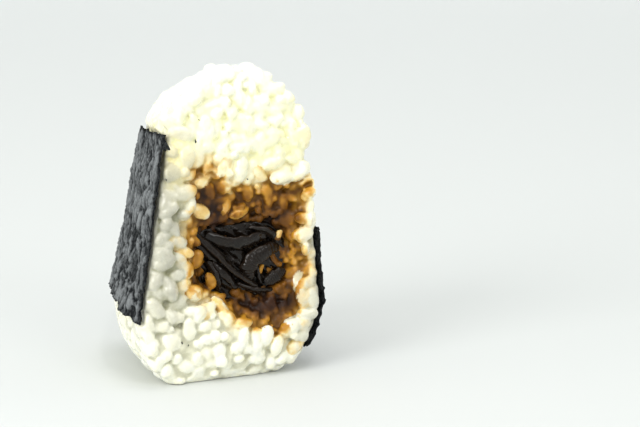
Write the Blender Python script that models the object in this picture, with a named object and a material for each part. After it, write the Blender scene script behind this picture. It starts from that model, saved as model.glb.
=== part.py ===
"""Half of a kombu onigiri, cut upright through its peak and standing on its foot.

Metres, +Z up. The cut face looks along -Y and the slanted back is at +Y. The two broad sides look along -X
and +X, and the nori runs from one to the other round the back. The origin is in the middle of the flat that
the rice stands on.
"""

import math

import bmesh
import bpy
import numpy as np
from mathutils import Matrix, Vector, noise

MM = 0.001

# Pressed rice, measured without the grains that stand out of it
RICE_HEIGHT = 78.6 * MM
PEAK_START = 57.0 * MM
BACK_PEAK_START = 50.0 * MM
FOOT_HEIGHT = 22.0 * MM
HALF_THICKNESS_AT_FOOT = 26.2 * MM
HALF_THICKNESS_AT_PEAK = 19.0 * MM
REACH_AT_FOOT = 49.5 * MM
REACH_AT_PEAK = 34.0 * MM
FOOT_INSET_AT_SIDES = 17.8 * MM
FOOT_INSET_AT_BACK = 26.0 * MM
SQUARENESS_AT_FOOT = 2.3
SQUARENESS_AT_PEAK = 2.6
FOOT_MIDDLE = -1.5 * MM
LEAN = 3.1 * MM
FOOT_SHIFT = 1.9 * MM
CUT_Y = -17.0 * MM
RELIEF_FADE = 14 * MM

# How the mesh of the pressed rice is divided
SIDE_STEPS = 34
CUT_STEPS = 10
FOOT_LEVELS = 5
SIDE_LEVELS = 11
PEAK_LEVELS = 7

# Cooked rice grains
GRAIN_LENGTH = 7.2 * MM
GRAIN_WIDTH = 3.7 * MM
GRAIN_THICKNESS = 3.2 * MM
GRAIN_SIDES = 5
GRAIN_RINGS = 3
GRAIN_SPACING = 4.02 * MM
CUT_GRAIN_TRIES = 5200
SIDE_GRAIN_TRIES = 2600
TURN_TRIES = 6
GRAIN_SINK = 0.2 * MM
SIDE_GRAIN_SPACING = 6.4 * MM
RIM_GRAINS = 12
BUMP_HEIGHT = 0.9 * MM
MOST_PROUD = 1.1 * MM

# Kelp filling and the pocket that it lies in
FILLING_CENTRE_X = 3.0 * MM
FILLING_CENTRE_Z = 29.5 * MM
FILLING_HALF_WIDTH = 12.4 * MM
FILLING_HALF_HEIGHT = 10.2 * MM
FILLING_POWER = 2.7
FILLING_POINTS = 20
FILLING_DEPTH = 24.0 * MM
FILLING_RECESS = 3.8 * MM
STRIP_THICKNESS = 1.2 * MM
STRIPS_FORWARD = 1.0 * MM

# Nori band: its lower and upper edges at the cut on the two broad sides
NORI_THICKNESS = 0.5 * MM
NORI_LEFT_EDGES = (17.2 * MM, 62.8 * MM)
NORI_RIGHT_EDGES = (7.0 * MM, 36.5 * MM)
NORI_RISE = 3.6 * MM
NORI_OVERHANG = 0.9 * MM
NORI_WAVE = 0.55 * MM
NORI_FLARE = 1.4 * MM
NORI_STEPS_ROUND = 29
NORI_STEPS_UP = 11

CLEARANCE = 0.45 * MM
PIECE_GAP = 0.35 * MM
SEED = 7


def clear_scene():
    for item in list(bpy.data.objects):
        bpy.data.objects.remove(item, do_unlink=True)


def material(name, colour, roughness, sheen=0.0):
    made = bpy.data.materials.new(name)
    made.use_nodes = True
    shader = made.node_tree.nodes["Principled BSDF"]
    shader.inputs["Base Color"].default_value = (*colour, 1)
    shader.inputs["Roughness"].default_value = roughness
    shader.inputs["Metallic"].default_value = 0.0
    shader.inputs["Coat Weight"].default_value = sheen
    return made


def foot_share(z):
    """1 on the floor, falling to 0 where the foot's round meets the sides."""
    below = np.clip((FOOT_HEIGHT - z) / FOOT_HEIGHT, 0, 1)
    return 1 - np.sqrt(1 - below**2)


def peak_share(z, start):
    """1 where the peak starts to round over, falling to 0 at the top."""
    above = np.clip((z - start) / (RICE_HEIGHT - start), 0, 1)
    return np.sqrt(1 - above**2)


def along_side(z, at_foot, at_peak):
    return at_foot + (at_peak - at_foot) * np.clip(z / PEAK_START, 0, 1)


def half_thickness(z):
    flank = along_side(z, HALF_THICKNESS_AT_FOOT, HALF_THICKNESS_AT_PEAK)
    return (flank - FOOT_INSET_AT_SIDES * foot_share(z)) * peak_share(z, PEAK_START)


def reach(z):
    """How far the rice runs back from the cut at height z."""
    back = along_side(z, REACH_AT_FOOT, REACH_AT_PEAK)
    return (back - FOOT_INSET_AT_BACK * foot_share(z)) * peak_share(z, BACK_PEAK_START)


def middle(z):
    """How far the middle of the cut face lies towards +X at height z, because the piece leans."""
    return FOOT_MIDDLE + LEAN * z / RICE_HEIGHT - FOOT_SHIFT * foot_share(z)


def outline(z, shares):
    """Points (x, y) at these shares of the way round the outside at height z.

    It is half a superellipse: share 0 is the cut edge at -X, 1 the cut edge at +X.
    """
    turn = np.linspace(math.pi, 0, 241)
    power = 2 / along_side(z, SQUARENESS_AT_FOOT, SQUARENESS_AT_PEAK)
    x = half_thickness(z) * np.sign(np.cos(turn)) * np.abs(np.cos(turn)) ** power
    y = reach(z) * np.abs(np.sin(turn)) ** power
    length = np.concatenate([[0], np.cumsum(np.hypot(np.diff(x), np.diff(y)))])
    length /= length[-1]
    return middle(z) + np.interp(shares, length, x), CUT_Y + np.interp(shares, length, y)


def skin_point(share, z):
    x, y = outline(z, share)
    return np.array([float(x), float(y), z])


def skin_frame(share, z):
    """A point on the outside of the pressed rice, and the outward normal there."""
    step_share, step_z = 0.006, 0.25 * MM
    low, high = max(0.0, share - step_share), min(1.0, share + step_share)
    under, over = max(0.0, z - step_z), min(RICE_HEIGHT - 0.01 * MM, z + step_z)
    round_way = skin_point(high, z) - skin_point(low, z)
    up_way = skin_point(share, over) - skin_point(share, under)
    normal = np.cross(up_way, round_way)
    return skin_point(share, z), normal / np.linalg.norm(normal)


def cut_relief(x, z):
    """How far the cut face lies behind (+) or in front (-) of the plane of the cut.

    The stained middle is hollowed out, the foot bulges forward over a rounded lower edge, and the peak
    rolls back.
    """
    hollow = np.exp(-(((x - 4 * MM) / (15 * MM)) ** 2) - ((z - 34 * MM) / (16 * MM)) ** 2)
    foot = np.exp(-(((x + 3 * MM) / (17 * MM)) ** 2) - ((z - 10 * MM) / (7 * MM)) ** 2)
    under = np.clip((7 * MM - z) / (7 * MM), 0, 1) ** 2
    roll = np.clip((z - 58 * MM) / (21 * MM), 0, 1) ** 2
    edge = 1 - np.minimum(1, np.abs(x - middle(z)) / (half_thickness(z) + MM)) ** 4
    return (2.6 * hollow * edge - 1.8 * foot * edge + 2.5 * under + 4.0 * roll) * MM


def nori_edges(share):
    """Heights of the nori's lower and upper edges at this share of the way round."""
    blend = np.clip((share - 0.22) / 0.56, 0, 1)
    blend = blend * blend * (3 - 2 * blend)
    rise = NORI_RISE * np.sin(math.pi * np.clip(share / 0.6, 0, 1))
    low, high = (left + (right - left) * blend for left, right in zip(NORI_LEFT_EDGES, NORI_RIGHT_EDGES))
    return low + rise, high - rise / 4


def under_nori(share, z, margin):
    low, high = nori_edges(share)
    return (z > low - margin) & (z < high + margin)


def filling_outline(turn, drawn_in):
    """(x, z) round the filling: a lumpy superellipse, drawn in by a distance."""
    power = 2 / FILLING_POWER
    lumps = 1 + 0.06 * math.sin(3 * turn + 0.6) + 0.04 * math.sin(5 * turn + 2.0)
    cos, sin = math.cos(turn), math.sin(turn)
    x = (FILLING_HALF_WIDTH * lumps - drawn_in) * math.copysign(abs(cos) ** power, cos)
    z = (FILLING_HALF_HEIGHT * lumps - drawn_in) * math.copysign(abs(sin) ** power, sin)
    return FILLING_CENTRE_X + x, FILLING_CENTRE_Z + z


def in_filling(x, z, margin):
    """Whether a point of the cut face lies over the filling, or within a margin of it."""
    across = abs(x - FILLING_CENTRE_X) / (FILLING_HALF_WIDTH * 1.06 + margin)
    up = abs(z - FILLING_CENTRE_Z) / (FILLING_HALF_HEIGHT * 1.06 + margin)
    return across**FILLING_POWER + up**FILLING_POWER < 1


def held_in_filling(point):
    """The point, moved towards the filling's middle if it would reach the pocket's wall."""
    x, z = point[0] - FILLING_CENTRE_X, point[2] - FILLING_CENTRE_Z
    across = abs(x) / (FILLING_HALF_WIDTH * 0.9 - PIECE_GAP)
    up = abs(z) / (FILLING_HALF_HEIGHT * 0.9 - PIECE_GAP)
    size = min(1.0, (across**FILLING_POWER + up**FILLING_POWER) ** (-1 / FILLING_POWER))
    return Vector((FILLING_CENTRE_X + x * size, point[1], FILLING_CENTRE_Z + z * size))


def random_skin_spots(rng, count, lowest, highest):
    """Random (share, z) spots spread evenly over the outside."""
    spots = []
    while len(spots) < count:
        share, z = rng.random(), lowest + (highest - lowest) * rng.random()
        if rng.random() < half_thickness(z) / HALF_THICKNESS_AT_FOOT:
            spots.append((share, z))
    return spots


def grain_axes(rng, normal, most_tilt, turn):
    """Length and width directions of a grain that lies on a surface, tilted up to most_tilt radians.

    The turn about the surface's normal is random unless it is given.
    """
    helper = np.array([0.0, 0.0, 1.0]) if abs(normal[2]) < 0.9 else np.array([1.0, 0.0, 0.0])
    side = np.cross(normal, helper)
    side /= np.linalg.norm(side)
    if turn is None:
        turn = 2 * math.pi * rng.random()
    flat = math.cos(turn) * side + math.sin(turn) * np.cross(normal, side)
    tilt = most_tilt * (2 * rng.random() - 1)
    along = math.cos(tilt) * flat + math.sin(tilt) * normal
    across = np.cross(normal, along)
    return along, across / np.linalg.norm(across)


def rice_levels():
    """Heights of the loops that the pressed rice is lofted through, closer where it rounds over."""
    foot = [FOOT_HEIGHT * (1 - math.cos(math.pi / 2 * i / FOOT_LEVELS)) for i in range(FOOT_LEVELS)]
    side = list(np.linspace(FOOT_HEIGHT, PEAK_START, SIDE_LEVELS, endpoint=False))
    rise = RICE_HEIGHT - PEAK_START
    peak = [PEAK_START + rise * math.sin(math.pi / 2 * i / PEAK_LEVELS) for i in range(PEAK_LEVELS)]
    return foot + side + peak


def add_object(name, mesh, look):
    made = bpy.data.objects.new(name, mesh)
    bpy.context.scene.collection.objects.link(made)
    if look:
        mesh.materials.append(look)
    return made


def loft(name, loops, look=None):
    """A closed solid through loops of points, all of one length, with a face over each end."""
    shape = bmesh.new()
    rows = [[shape.verts.new(Vector(point)) for point in loop] for loop in loops]
    for lower, upper in zip(rows, rows[1:]):
        for i in range(len(lower)):
            after = (i + 1) % len(lower)
            shape.faces.new((lower[i], lower[after], upper[after], upper[i]))
    shape.faces.new(list(reversed(rows[0])))
    shape.faces.new(rows[-1])
    bmesh.ops.recalc_face_normals(shape, faces=shape.faces)
    mesh = bpy.data.meshes.new(name)
    shape.to_mesh(mesh)
    shape.free()
    return add_object(name, mesh, look)


def rice_loop(z, rng):
    """One level of the pressed rice: round the outside with its bumps, then back over the cut face."""
    points = []
    for column, share in enumerate(np.linspace(0, 1, SIDE_STEPS + 1)):
        height = BUMP_HEIGHT * (rng.random() - 0.5)
        if 0 < column < SIDE_STEPS:
            share += (rng.random() - 0.5) * 0.5 / SIDE_STEPS
        if z == 0 or under_nori(share, z, 1.2 * MM):
            height = 0.0
        point, normal = skin_frame(share, z)
        fade = min(1.0, z / (5 * MM)) * min(1.0, min(share, 1 - share) * 30 + 0.35)
        point = point + normal * height * fade
        point[1] += float(cut_relief(point[0], z)) * max(0.0, 1 - (point[1] - CUT_Y) / RELIEF_FADE)
        point[2] = min(point[2], RICE_HEIGHT) if z > 0 else 0.0
        points.append(point)
    first, last = points[0], points[-1]
    for share in np.linspace(1, 0, CUT_STEPS + 2)[1:-1]:
        x = first[0] + (last[0] - first[0]) * share
        rough = 0.5 * MM * noise.noise(Vector((x, 0, z)) / (4 * MM)) if z > 0 else 0.0
        points.append(np.array([x, CUT_Y + float(cut_relief(x, z)) + rough, z]))
    return points


def rice_body(rng, look):
    loops = [rice_loop(z, rng) for z in rice_levels()]
    centre = np.mean(loops[-1], axis=0)
    tip = [centre + (point - centre) * 0.4 for point in loops[-1]]
    for point in tip:
        point[2] = RICE_HEIGHT
    return loft("rice", loops + [tip], look)


def filling_loops(stations, drawn_in):
    """Loops of the filling or its pocket, at (y from the cut, size) stations."""
    turns = [2 * math.pi * i / FILLING_POINTS for i in range(FILLING_POINTS)]
    loops = []
    for depth, size in stations:
        loop = []
        for turn in turns:
            x, z = filling_outline(turn, drawn_in)
            x = FILLING_CENTRE_X + (x - FILLING_CENTRE_X) * size
            z = FILLING_CENTRE_Z + (z - FILLING_CENTRE_Z) * size
            loop.append((x, CUT_Y + depth, z))
        loops.append(loop)
    return loops


def pocket():
    """The hollow in the rice that the filling runs back through."""
    stations = ((-9 * MM, 1.0), (6 * MM, 1.0), (15 * MM, 0.92), (FILLING_DEPTH, 0.7))
    made = loft("pocket", filling_loops(stations, 0.0))
    made.hide_render = True
    made.display_type = "WIRE"
    return made


def grain_mesh(name):
    """A rice grain about the origin, long along X: an ellipsoid with one flatter side."""
    shape = bmesh.new()
    start = shape.verts.new((-GRAIN_LENGTH / 2, 0, 0))
    end = shape.verts.new((GRAIN_LENGTH / 2, 0, 0))
    rings = []
    for i in range(GRAIN_RINGS):
        polar = math.pi * (i + 1) / (GRAIN_RINGS + 1)
        radius = math.sin(polar) ** 0.75
        ring = []
        for k in range(GRAIN_SIDES):
            turn = 2 * math.pi * (k + 0.5 * (i % 2)) / GRAIN_SIDES
            y = GRAIN_WIDTH / 2 * radius * math.cos(turn)
            z = GRAIN_THICKNESS / 2 * radius * math.sin(turn)
            ring.append(shape.verts.new((-GRAIN_LENGTH / 2 * math.cos(polar), y, z)))
        rings.append(ring)
    for k in range(GRAIN_SIDES):
        after = (k + 1) % GRAIN_SIDES
        shape.faces.new((start, rings[0][after], rings[0][k]))
        shape.faces.new((end, rings[-1][k], rings[-1][after]))
        for lower, upper in zip(rings, rings[1:]):
            shape.faces.new((lower[k], lower[after], upper[after], upper[k]))
    bmesh.ops.triangulate(shape, faces=shape.faces)
    bmesh.ops.recalc_face_normals(shape, faces=shape.faces)
    mesh = bpy.data.meshes.new(name)
    shape.to_mesh(mesh)
    shape.free()
    return mesh


def grain_matrix(point, along, across, size):
    up = np.cross(along, across)
    turn = Matrix((along * size, across * size, up * size)).transposed().to_4x4()
    return Matrix.Translation(Vector(point)) @ turn


def clears_neighbours(corners):
    """Whether a grain's corners keep off the filling, the nori and the floor, and close to the sides."""
    for x, y, z in corners:
        if z < 0.15 * MM:
            return False
        if in_filling(x, z, 0.5 * MM) and y < CUT_Y + FILLING_DEPTH:
            return False
        left_low, left_high = NORI_LEFT_EDGES
        right_low, right_high = NORI_RIGHT_EDGES
        low, high = (left_low, left_high) if x < 0 else (right_low, right_high)
        beside_nori = low - 2.5 * MM < z < high + 2.5 * MM
        beside = abs(x - middle(z)) - half_thickness(min(z, RICE_HEIGHT))
        if y < CUT_Y + 5 * MM and beside > (-0.1 * MM if beside_nori else MOST_PROUD):
            return False
        if z > RICE_HEIGHT + MOST_PROUD:
            return False
    return True


def rim_grains():
    """Places of the grains that lie round the mouth of the pocket, each along its rim."""
    places = []
    for i in range(RIM_GRAINS):
        around = 2 * math.pi * (i + 0.5) / RIM_GRAINS
        outwards = -(GRAIN_WIDTH / 2 + 1.0 * MM)
        x, z = filling_outline(around, outwards)
        ahead_x, ahead_z = filling_outline(around + 0.05, outwards)
        point = np.array([x, CUT_Y + float(cut_relief(x, z)) + GRAIN_SINK, z])
        turn = math.atan2(z - ahead_z, x - ahead_x)
        places.append((point, np.array([0.0, -1.0, 0.0]), 0.2, turn))
    return places


def cut_grains(rng):
    """Places of the grains that show on the cut face."""
    places = []
    while len(places) < CUT_GRAIN_TRIES:
        x = HALF_THICKNESS_AT_FOOT * (2 * rng.random() - 1)
        z = RICE_HEIGHT * rng.random()
        if abs(x - middle(z)) < half_thickness(z) + 0.2 * MM:
            places.append(np.array([x, CUT_Y + float(cut_relief(x, z)) + GRAIN_SINK, z]))
    normal = np.array([0.0, -1.0, 0.0])
    return rim_grains() + [(place, normal, 0.75, None) for place in places]


def side_grains(rng):
    """Places of the grains that stand out of the broad sides, the back and the peak."""
    places = []
    for share, z in random_skin_spots(rng, SIDE_GRAIN_TRIES, 2.0 * MM, RICE_HEIGHT - 0.6 * MM):
        if 0.04 < share < 0.96 and not under_nori(share, z, 4.3 * MM):
            point, normal = skin_frame(share, z)
            places.append((point + normal * 0.1 * MM, normal, 0.3, None))
    return places


def scatter_grains(rng, places, spacing, mesh, holder):
    corners = np.array([v.co for v in mesh.vertices])
    kept = np.empty((0, 3))
    for place, normal, tilt, turn in places:
        if len(kept) and np.linalg.norm(kept - place, axis=1).min() < spacing:
            continue
        for _ in range(TURN_TRIES):
            along, across = grain_axes(rng, normal, tilt, turn)
            size = 0.9 + 0.2 * rng.random()
            matrix = grain_matrix(place, along, across, size)
            world = [matrix @ Vector(corner) for corner in corners]
            if clears_neighbours(world):
                grain = bpy.data.objects.new("grain", mesh)
                grain.matrix_world = matrix
                holder.objects.link(grain)
                kept = np.vstack([kept, place])
                break


def keep_outer_shell(mesh):
    """Fills sealed hollows and drops loose scraps: only the largest connected surface stays."""
    shape = bmesh.new()
    shape.from_mesh(mesh)
    left = set(shape.verts)
    shells = []
    while left:
        shell, edge_of_shell = set(), [next(iter(left))]
        while edge_of_shell:
            vertex = edge_of_shell.pop()
            if vertex in shell:
                continue
            shell.add(vertex)
            edge_of_shell.extend(e.other_vert(vertex) for e in vertex.link_edges)
        left -= shell
        shells.append(shell)
    shells.sort(key=len)
    for shell in shells[:-1]:
        bmesh.ops.delete(shape, geom=list(shell), context="VERTS")
    bmesh.ops.triangulate(shape, faces=shape.faces)
    shape.to_mesh(mesh)
    shape.free()


def fuse(target, holder, cutter=None):
    """Cuts the pocket, joins a collection's solids to the target, and keeps only the result."""
    if cutter:
        cut = target.modifiers.new("pocket", "BOOLEAN")
        cut.operation = "DIFFERENCE"
        cut.object = cutter
        cut.solver = "EXACT"
    join = target.modifiers.new("join", "BOOLEAN")
    join.operation = "UNION"
    join.operand_type = "COLLECTION"
    join.collection = holder
    join.solver = "MANIFOLD"
    bpy.context.view_layer.update()
    graph = bpy.context.evaluated_depsgraph_get()
    mesh = bpy.data.meshes.new_from_object(target.evaluated_get(graph))
    target.modifiers.clear()
    target.data = mesh
    keep_outer_shell(mesh)
    for item in list(holder.objects) + ([cutter] if cutter else []):
        bpy.data.objects.remove(item, do_unlink=True)
    bpy.data.collections.remove(holder)


def new_holder(name):
    holder = bpy.data.collections.new(name)
    bpy.context.scene.collection.children.link(holder)
    return holder


def make_rice(look):
    rng = np.random.default_rng(SEED)
    body = rice_body(rng, look)
    grains = new_holder("grains")
    mesh = grain_mesh("grain")
    scatter_grains(rng, cut_grains(rng), GRAIN_SPACING, mesh, grains)
    scatter_grains(rng, side_grains(rng), SIDE_GRAIN_SPACING, mesh, grains)
    fuse(body, grains, pocket())
    smooth(body, 55)
    return body


def curve_through(points, count):
    """Points evenly along a smooth (Catmull-Rom) curve through a strip's own few points."""
    points = [np.array(p, float) for p in points]
    padded = [2 * points[0] - points[1], *points, 2 * points[-1] - points[-2]]
    found = []
    for t in np.linspace(0, len(points) - 1, count):
        i = min(int(t), len(points) - 2)
        f = t - i
        a, b, c, d = padded[i : i + 4]
        found.append(
            0.5 * (2 * b + (c - a) * f + (2 * a - 5 * b + 4 * c - d) * f**2 + (3 * b - a - 3 * c + d) * f**3)
        )
    return found


# Kelp strips on the front of the filling: their points as (x, depth behind the cut, z) in mm, their width,
# and how far their flat side is turned from facing the front, in degrees.
KELP_STRIPS = (
    (((-8.5, 4.6, 35.5), (-3.0, 3.2, 33.0), (3.0, 2.8, 33.4), (8.8, 4.4, 36.3)), 3.8, 15),
    (((-10.0, 4.8, 37.0), (-6.0, 3.4, 32.0), (0.0, 2.0, 26.4), (5.6, 2.8, 21.9)), 2.6, -40),
    (((11.4, 4.4, 35.0), (9.0, 2.6, 33.0), (5.4, 2.3, 29.6), (3.6, 3.8, 25.4)), 4.4, 20),
    (((11.8, 4.6, 30.4), (10.4, 3.2, 26.4), (8.6, 3.8, 22.6)), 4.2, -20),
    (((-8.6, 5.0, 31.0), (-6.0, 3.4, 27.6), (-3.4, 4.0, 22.6)), 2.8, 35),
    (((-5.0, 5.0, 30.4), (-2.4, 4.0, 26.0), (0.6, 4.6, 21.8)), 2.4, -30),
    (((-2.0, 5.2, 22.4), (3.0, 4.2, 21.4), (8.6, 5.0, 21.6)), 2.2, 60),
    (((-1.5, 5.4, 30.6), (2.0, 4.4, 28.4), (4.4, 5.2, 24.0)), 2.6, 10),
)


def kelp_strip(name, points, width, turned):
    """A flat strip of kelp along a curve: six-sided across, narrower at both ends."""
    front = CUT_Y - STRIPS_FORWARD
    spine = curve_through([(x * MM, front + y * MM, z * MM) for x, y, z in points], 7)
    loops = []
    for i, centre in enumerate(spine):
        ahead = spine[min(i + 1, len(spine) - 1)] - spine[max(i - 1, 0)]
        ahead = Vector(ahead).normalized()
        share = i / (len(spine) - 1)
        side = ahead.cross(Vector((0, -1, 0))).normalized()
        side.rotate(Matrix.Rotation(math.radians(turned), 3, ahead))
        face = ahead.cross(side)
        size = 0.55 + 0.45 * math.sin(math.pi * share) ** 0.6
        half, thick = width * MM * size / 2, STRIP_THICKNESS / 2
        across = ((-1, 0), (-0.6, -1), (0.6, -1), (1, 0), (0.6, 1), (-0.6, 1))
        corners = [Vector(centre) + side * half * a + face * thick * b for a, b in across]
        loops.append([held_in_filling(corner) for corner in corners])
    return loft(name, loops)


def make_filling(look):
    """The kelp that runs back into the rice: one solid with the strips that show fused to its front."""
    inner_end = FILLING_DEPTH - PIECE_GAP
    stations = ((FILLING_RECESS, 0.96), (FILLING_RECESS + 1.5 * MM, 1.0), (15 * MM, 0.92), (inner_end, 0.7))
    body = loft("kombu_filling", filling_loops(stations, PIECE_GAP + 0.1 * MM), look)
    strips = new_holder("strips")
    for i, (points, width, turned) in enumerate(KELP_STRIPS):
        strip = kelp_strip(f"strip_{i}", points, width, turned)
        bpy.context.scene.collection.objects.unlink(strip)
        strips.objects.link(strip)
    fuse(body, strips)
    smooth(body, 50)
    return body


def nori_sheet_point(share, up, offset):
    """A point of the nori at a share of the way round and up its width, held off the rice by offset."""
    low, high = nori_edges(share)
    ragged = 0.9 * MM * noise.noise(Vector((share * 30, 4.0 * round(up), 0.5)))
    z = low + (high - low) * up + ragged * (2 * abs(up - 0.5)) ** 3
    point, normal = skin_frame(share, z)
    wave = 0.5 + 0.5 * noise.noise(Vector((share * 16, z / (9 * MM), 2.0)))
    flare = NORI_FLARE * (2 * up - 1) ** 2 * (1.5 - up) * max(0.0, 1 - share / 0.7)
    return point + normal * (offset + NORI_WAVE * wave + flare)


def nori_shares():
    """Shares of the way round, with a first and a last that stand just in front of the cut."""
    return [0.0, *np.linspace(0.012, 0.988, NORI_STEPS_ROUND - 1), 1.0]


def make_nori(look):
    """A thin wavy band: an inner and an outer skin on the same grid, joined along all four edges."""
    shape = bmesh.new()
    skins = []
    for offset in (CLEARANCE, CLEARANCE + NORI_THICKNESS):
        grid = []
        for share in nori_shares():
            row = []
            for j in range(NORI_STEPS_UP + 1):
                point = nori_sheet_point(share, j / NORI_STEPS_UP, offset)
                if share in (0.0, 1.0):
                    point[1] -= NORI_OVERHANG
                row.append(shape.verts.new(Vector(point)))
            grid.append(row)
        skins.append(grid)
    inner, outer = skins
    last_i, last_j = len(inner) - 1, NORI_STEPS_UP
    for i in range(last_i):
        for j in range(last_j):
            for grid in skins:
                a, b, c, d = grid[i][j], grid[i + 1][j], grid[i + 1][j + 1], grid[i][j + 1]
                shape.faces.new((a, b, c))
                shape.faces.new((a, c, d))
    rim = [(i, 0) for i in range(last_i)] + [(last_i, j) for j in range(last_j)]
    rim += [(i, last_j) for i in range(last_i, 0, -1)] + [(0, j) for j in range(last_j, 0, -1)]
    for (i, j), (k, m) in zip(rim, rim[1:] + rim[:1]):
        shape.faces.new((inner[i][j], inner[k][m], outer[k][m], outer[i][j]))
    bmesh.ops.recalc_face_normals(shape, faces=shape.faces)
    mesh = bpy.data.meshes.new("nori_band")
    shape.to_mesh(mesh)
    shape.free()
    band = add_object("nori_band", mesh, look)
    smooth(band, 60)
    return band


def smooth(item, sharp_degrees):
    item.data.shade_smooth()
    item.data.set_sharp_from_angle(angle=math.radians(sharp_degrees))


def main():
    clear_scene()
    make_rice(material("cooked rice", (0.86, 0.85, 0.74), 0.42, 0.15))
    make_filling(material("simmered kelp", (0.018, 0.013, 0.009), 0.28, 0.5))
    make_nori(material("roasted nori", (0.018, 0.02, 0.022), 0.55, 0.1))


main()
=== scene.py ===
"""Looks of half a kombu onigiri: sticky rice grains, soy-stained middle, simmered kelp and a nori band.

Metres, +Z up. The cut face looks along -Y, the slanted back is at +Y, and the nori runs round from -X to +X.
"""

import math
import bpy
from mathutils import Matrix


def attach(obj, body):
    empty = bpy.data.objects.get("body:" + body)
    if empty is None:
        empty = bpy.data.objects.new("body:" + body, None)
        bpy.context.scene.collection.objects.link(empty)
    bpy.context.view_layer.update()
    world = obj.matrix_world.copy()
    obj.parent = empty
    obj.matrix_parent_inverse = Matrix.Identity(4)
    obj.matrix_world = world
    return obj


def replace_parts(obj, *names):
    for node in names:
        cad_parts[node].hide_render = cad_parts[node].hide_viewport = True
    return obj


bl_info = {
    "name": "Kombu onigiri",
    "version": (1, 0, 0),
    "blender": (4, 5, 0),
    "location": "3D View > Sidebar > Onigiri",
    "description": "Rice grains, simmered kelp and nori on half a kombu onigiri",
    "category": "Object",
}

import bpy
import numpy as np
from mathutils import Matrix, Vector

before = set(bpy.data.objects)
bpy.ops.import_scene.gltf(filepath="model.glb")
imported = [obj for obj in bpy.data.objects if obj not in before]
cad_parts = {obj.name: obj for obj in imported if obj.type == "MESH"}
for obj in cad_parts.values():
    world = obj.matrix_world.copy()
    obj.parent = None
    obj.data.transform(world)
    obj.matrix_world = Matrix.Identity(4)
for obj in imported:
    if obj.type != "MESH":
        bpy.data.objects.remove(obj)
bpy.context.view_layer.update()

MM = 0.001
BODY = "root"

# Pressed rice, the same form as its solid
RICE_HEIGHT = 78.6 * MM
PEAK_START = 57.0 * MM
BACK_PEAK_START = 50.0 * MM
FOOT_HEIGHT = 22.0 * MM
HALF_THICKNESS_AT_FOOT = 26.2 * MM
HALF_THICKNESS_AT_PEAK = 19.0 * MM
REACH_AT_FOOT = 49.5 * MM
REACH_AT_PEAK = 34.0 * MM
FOOT_INSET_AT_SIDES = 17.8 * MM
FOOT_INSET_AT_BACK = 26.0 * MM
SQUARENESS_AT_FOOT = 2.3
SQUARENESS_AT_PEAK = 2.6
FOOT_MIDDLE = -1.5 * MM
LEAN = 3.1 * MM
FOOT_SHIFT = 1.9 * MM
CUT_Y = -17.0 * MM

# Mesh of the rice: its most triangles, how sharply pressed grains meet, how deep the floor between them is,
# the rounds that smooth it to find its hollows, the way up its slope, and the size of the table that the
# outside is read from
MOST_TRIANGLES = 192_000
BED_SHARPNESS = 5.0 / MM
BED_FLOOR = -1.7 * MM
HOLLOW_ROUNDS = 40
SLOPE_LENGTH = 99.0 * MM
SKIN_ROWS = 361
SKIN_COLUMNS = 401

# Where the random draws of each kind of piece start
DRAWS = {"bed": 40, "cut": 41, "sides": 42, "crumbs": 44, "flecks": 45, "lone": 46}

# Relief of the cut face in mm: its hollow middle, full foot, rounded lower edge and rolled peak
HOLLOW = 2.6
SWELL = 1.8
UNDERCUT = 2.5
ROLL = 4.0

# How far the soaked rice lies behind the rest, and the row height of a triangular lattice over its spacing
SOAKED_STEP = 1.3 * MM
ROW_STEP = 0.866

# Kelp filling, the same form as its solid
FILLING_CENTRE = (3.0 * MM, 29.5 * MM)
FILLING_HALF_SIZE = (12.4 * MM, 10.2 * MM)
FILLING_POWER = 2.7

# Points round the bundle of kelp, and rings along one strip and points round it
BUNDLE_SIDES = 140
STRIP_STEPS = 90
STRIP_SIDES = 28

# Nori band: its lower and upper edges at the cut on the two broad sides, how far they rise towards the back,
# stand before the cut and flare, the length that its noise runs over, the steps round it and up it, how much
# longer crinkles are upwards than across, and the rags of its edges as (height, wave length) in mm
NORI_LEFT_EDGES = (17.2 * MM, 62.8 * MM)
NORI_RIGHT_EDGES = (7.0 * MM, 36.5 * MM)
NORI_RISE = 3.6 * MM
NORI_OVERHANG = 0.9 * MM
NORI_FLARE = 1.4 * MM
NORI_RUN = 130 * MM
NORI_GRID = (431, 105)
CRINKLE_SHAPE = 1.5
NORI_RAGS = ((0.35, 4.5), (0.45, 1.4), (0.3, 0.6))

# Outline of the rice that the soy has soaked, as (x, z) in mm on the cut face
SOAKED_OUTLINE = (
    (-10.8, 53.8), (-5.7, 54.6), (-2.6, 50.6), (0.1, 49.2), (3.8, 49.0), (7.9, 47.4), (9.9, 50.4),
    (15.1, 48.4), (21.0, 49.4), (18.6, 42.1), (17.9, 38.5), (16.9, 34.0), (19.4, 30.4), (19.9, 27.0),
    (18.8, 22.2), (17.3, 17.0), (14.8, 12.8), (11.5, 10.4), (6.5, 11.6), (2.8, 14.6), (-1.5, 16.2),
    (-3.6, 20.1), (-8.4, 22.2), (-12.6, 25.5), (-12.3, 30.7), (-12.4, 35.7), (-11.2, 40.1), (-11.0, 45.2),
)

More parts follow.
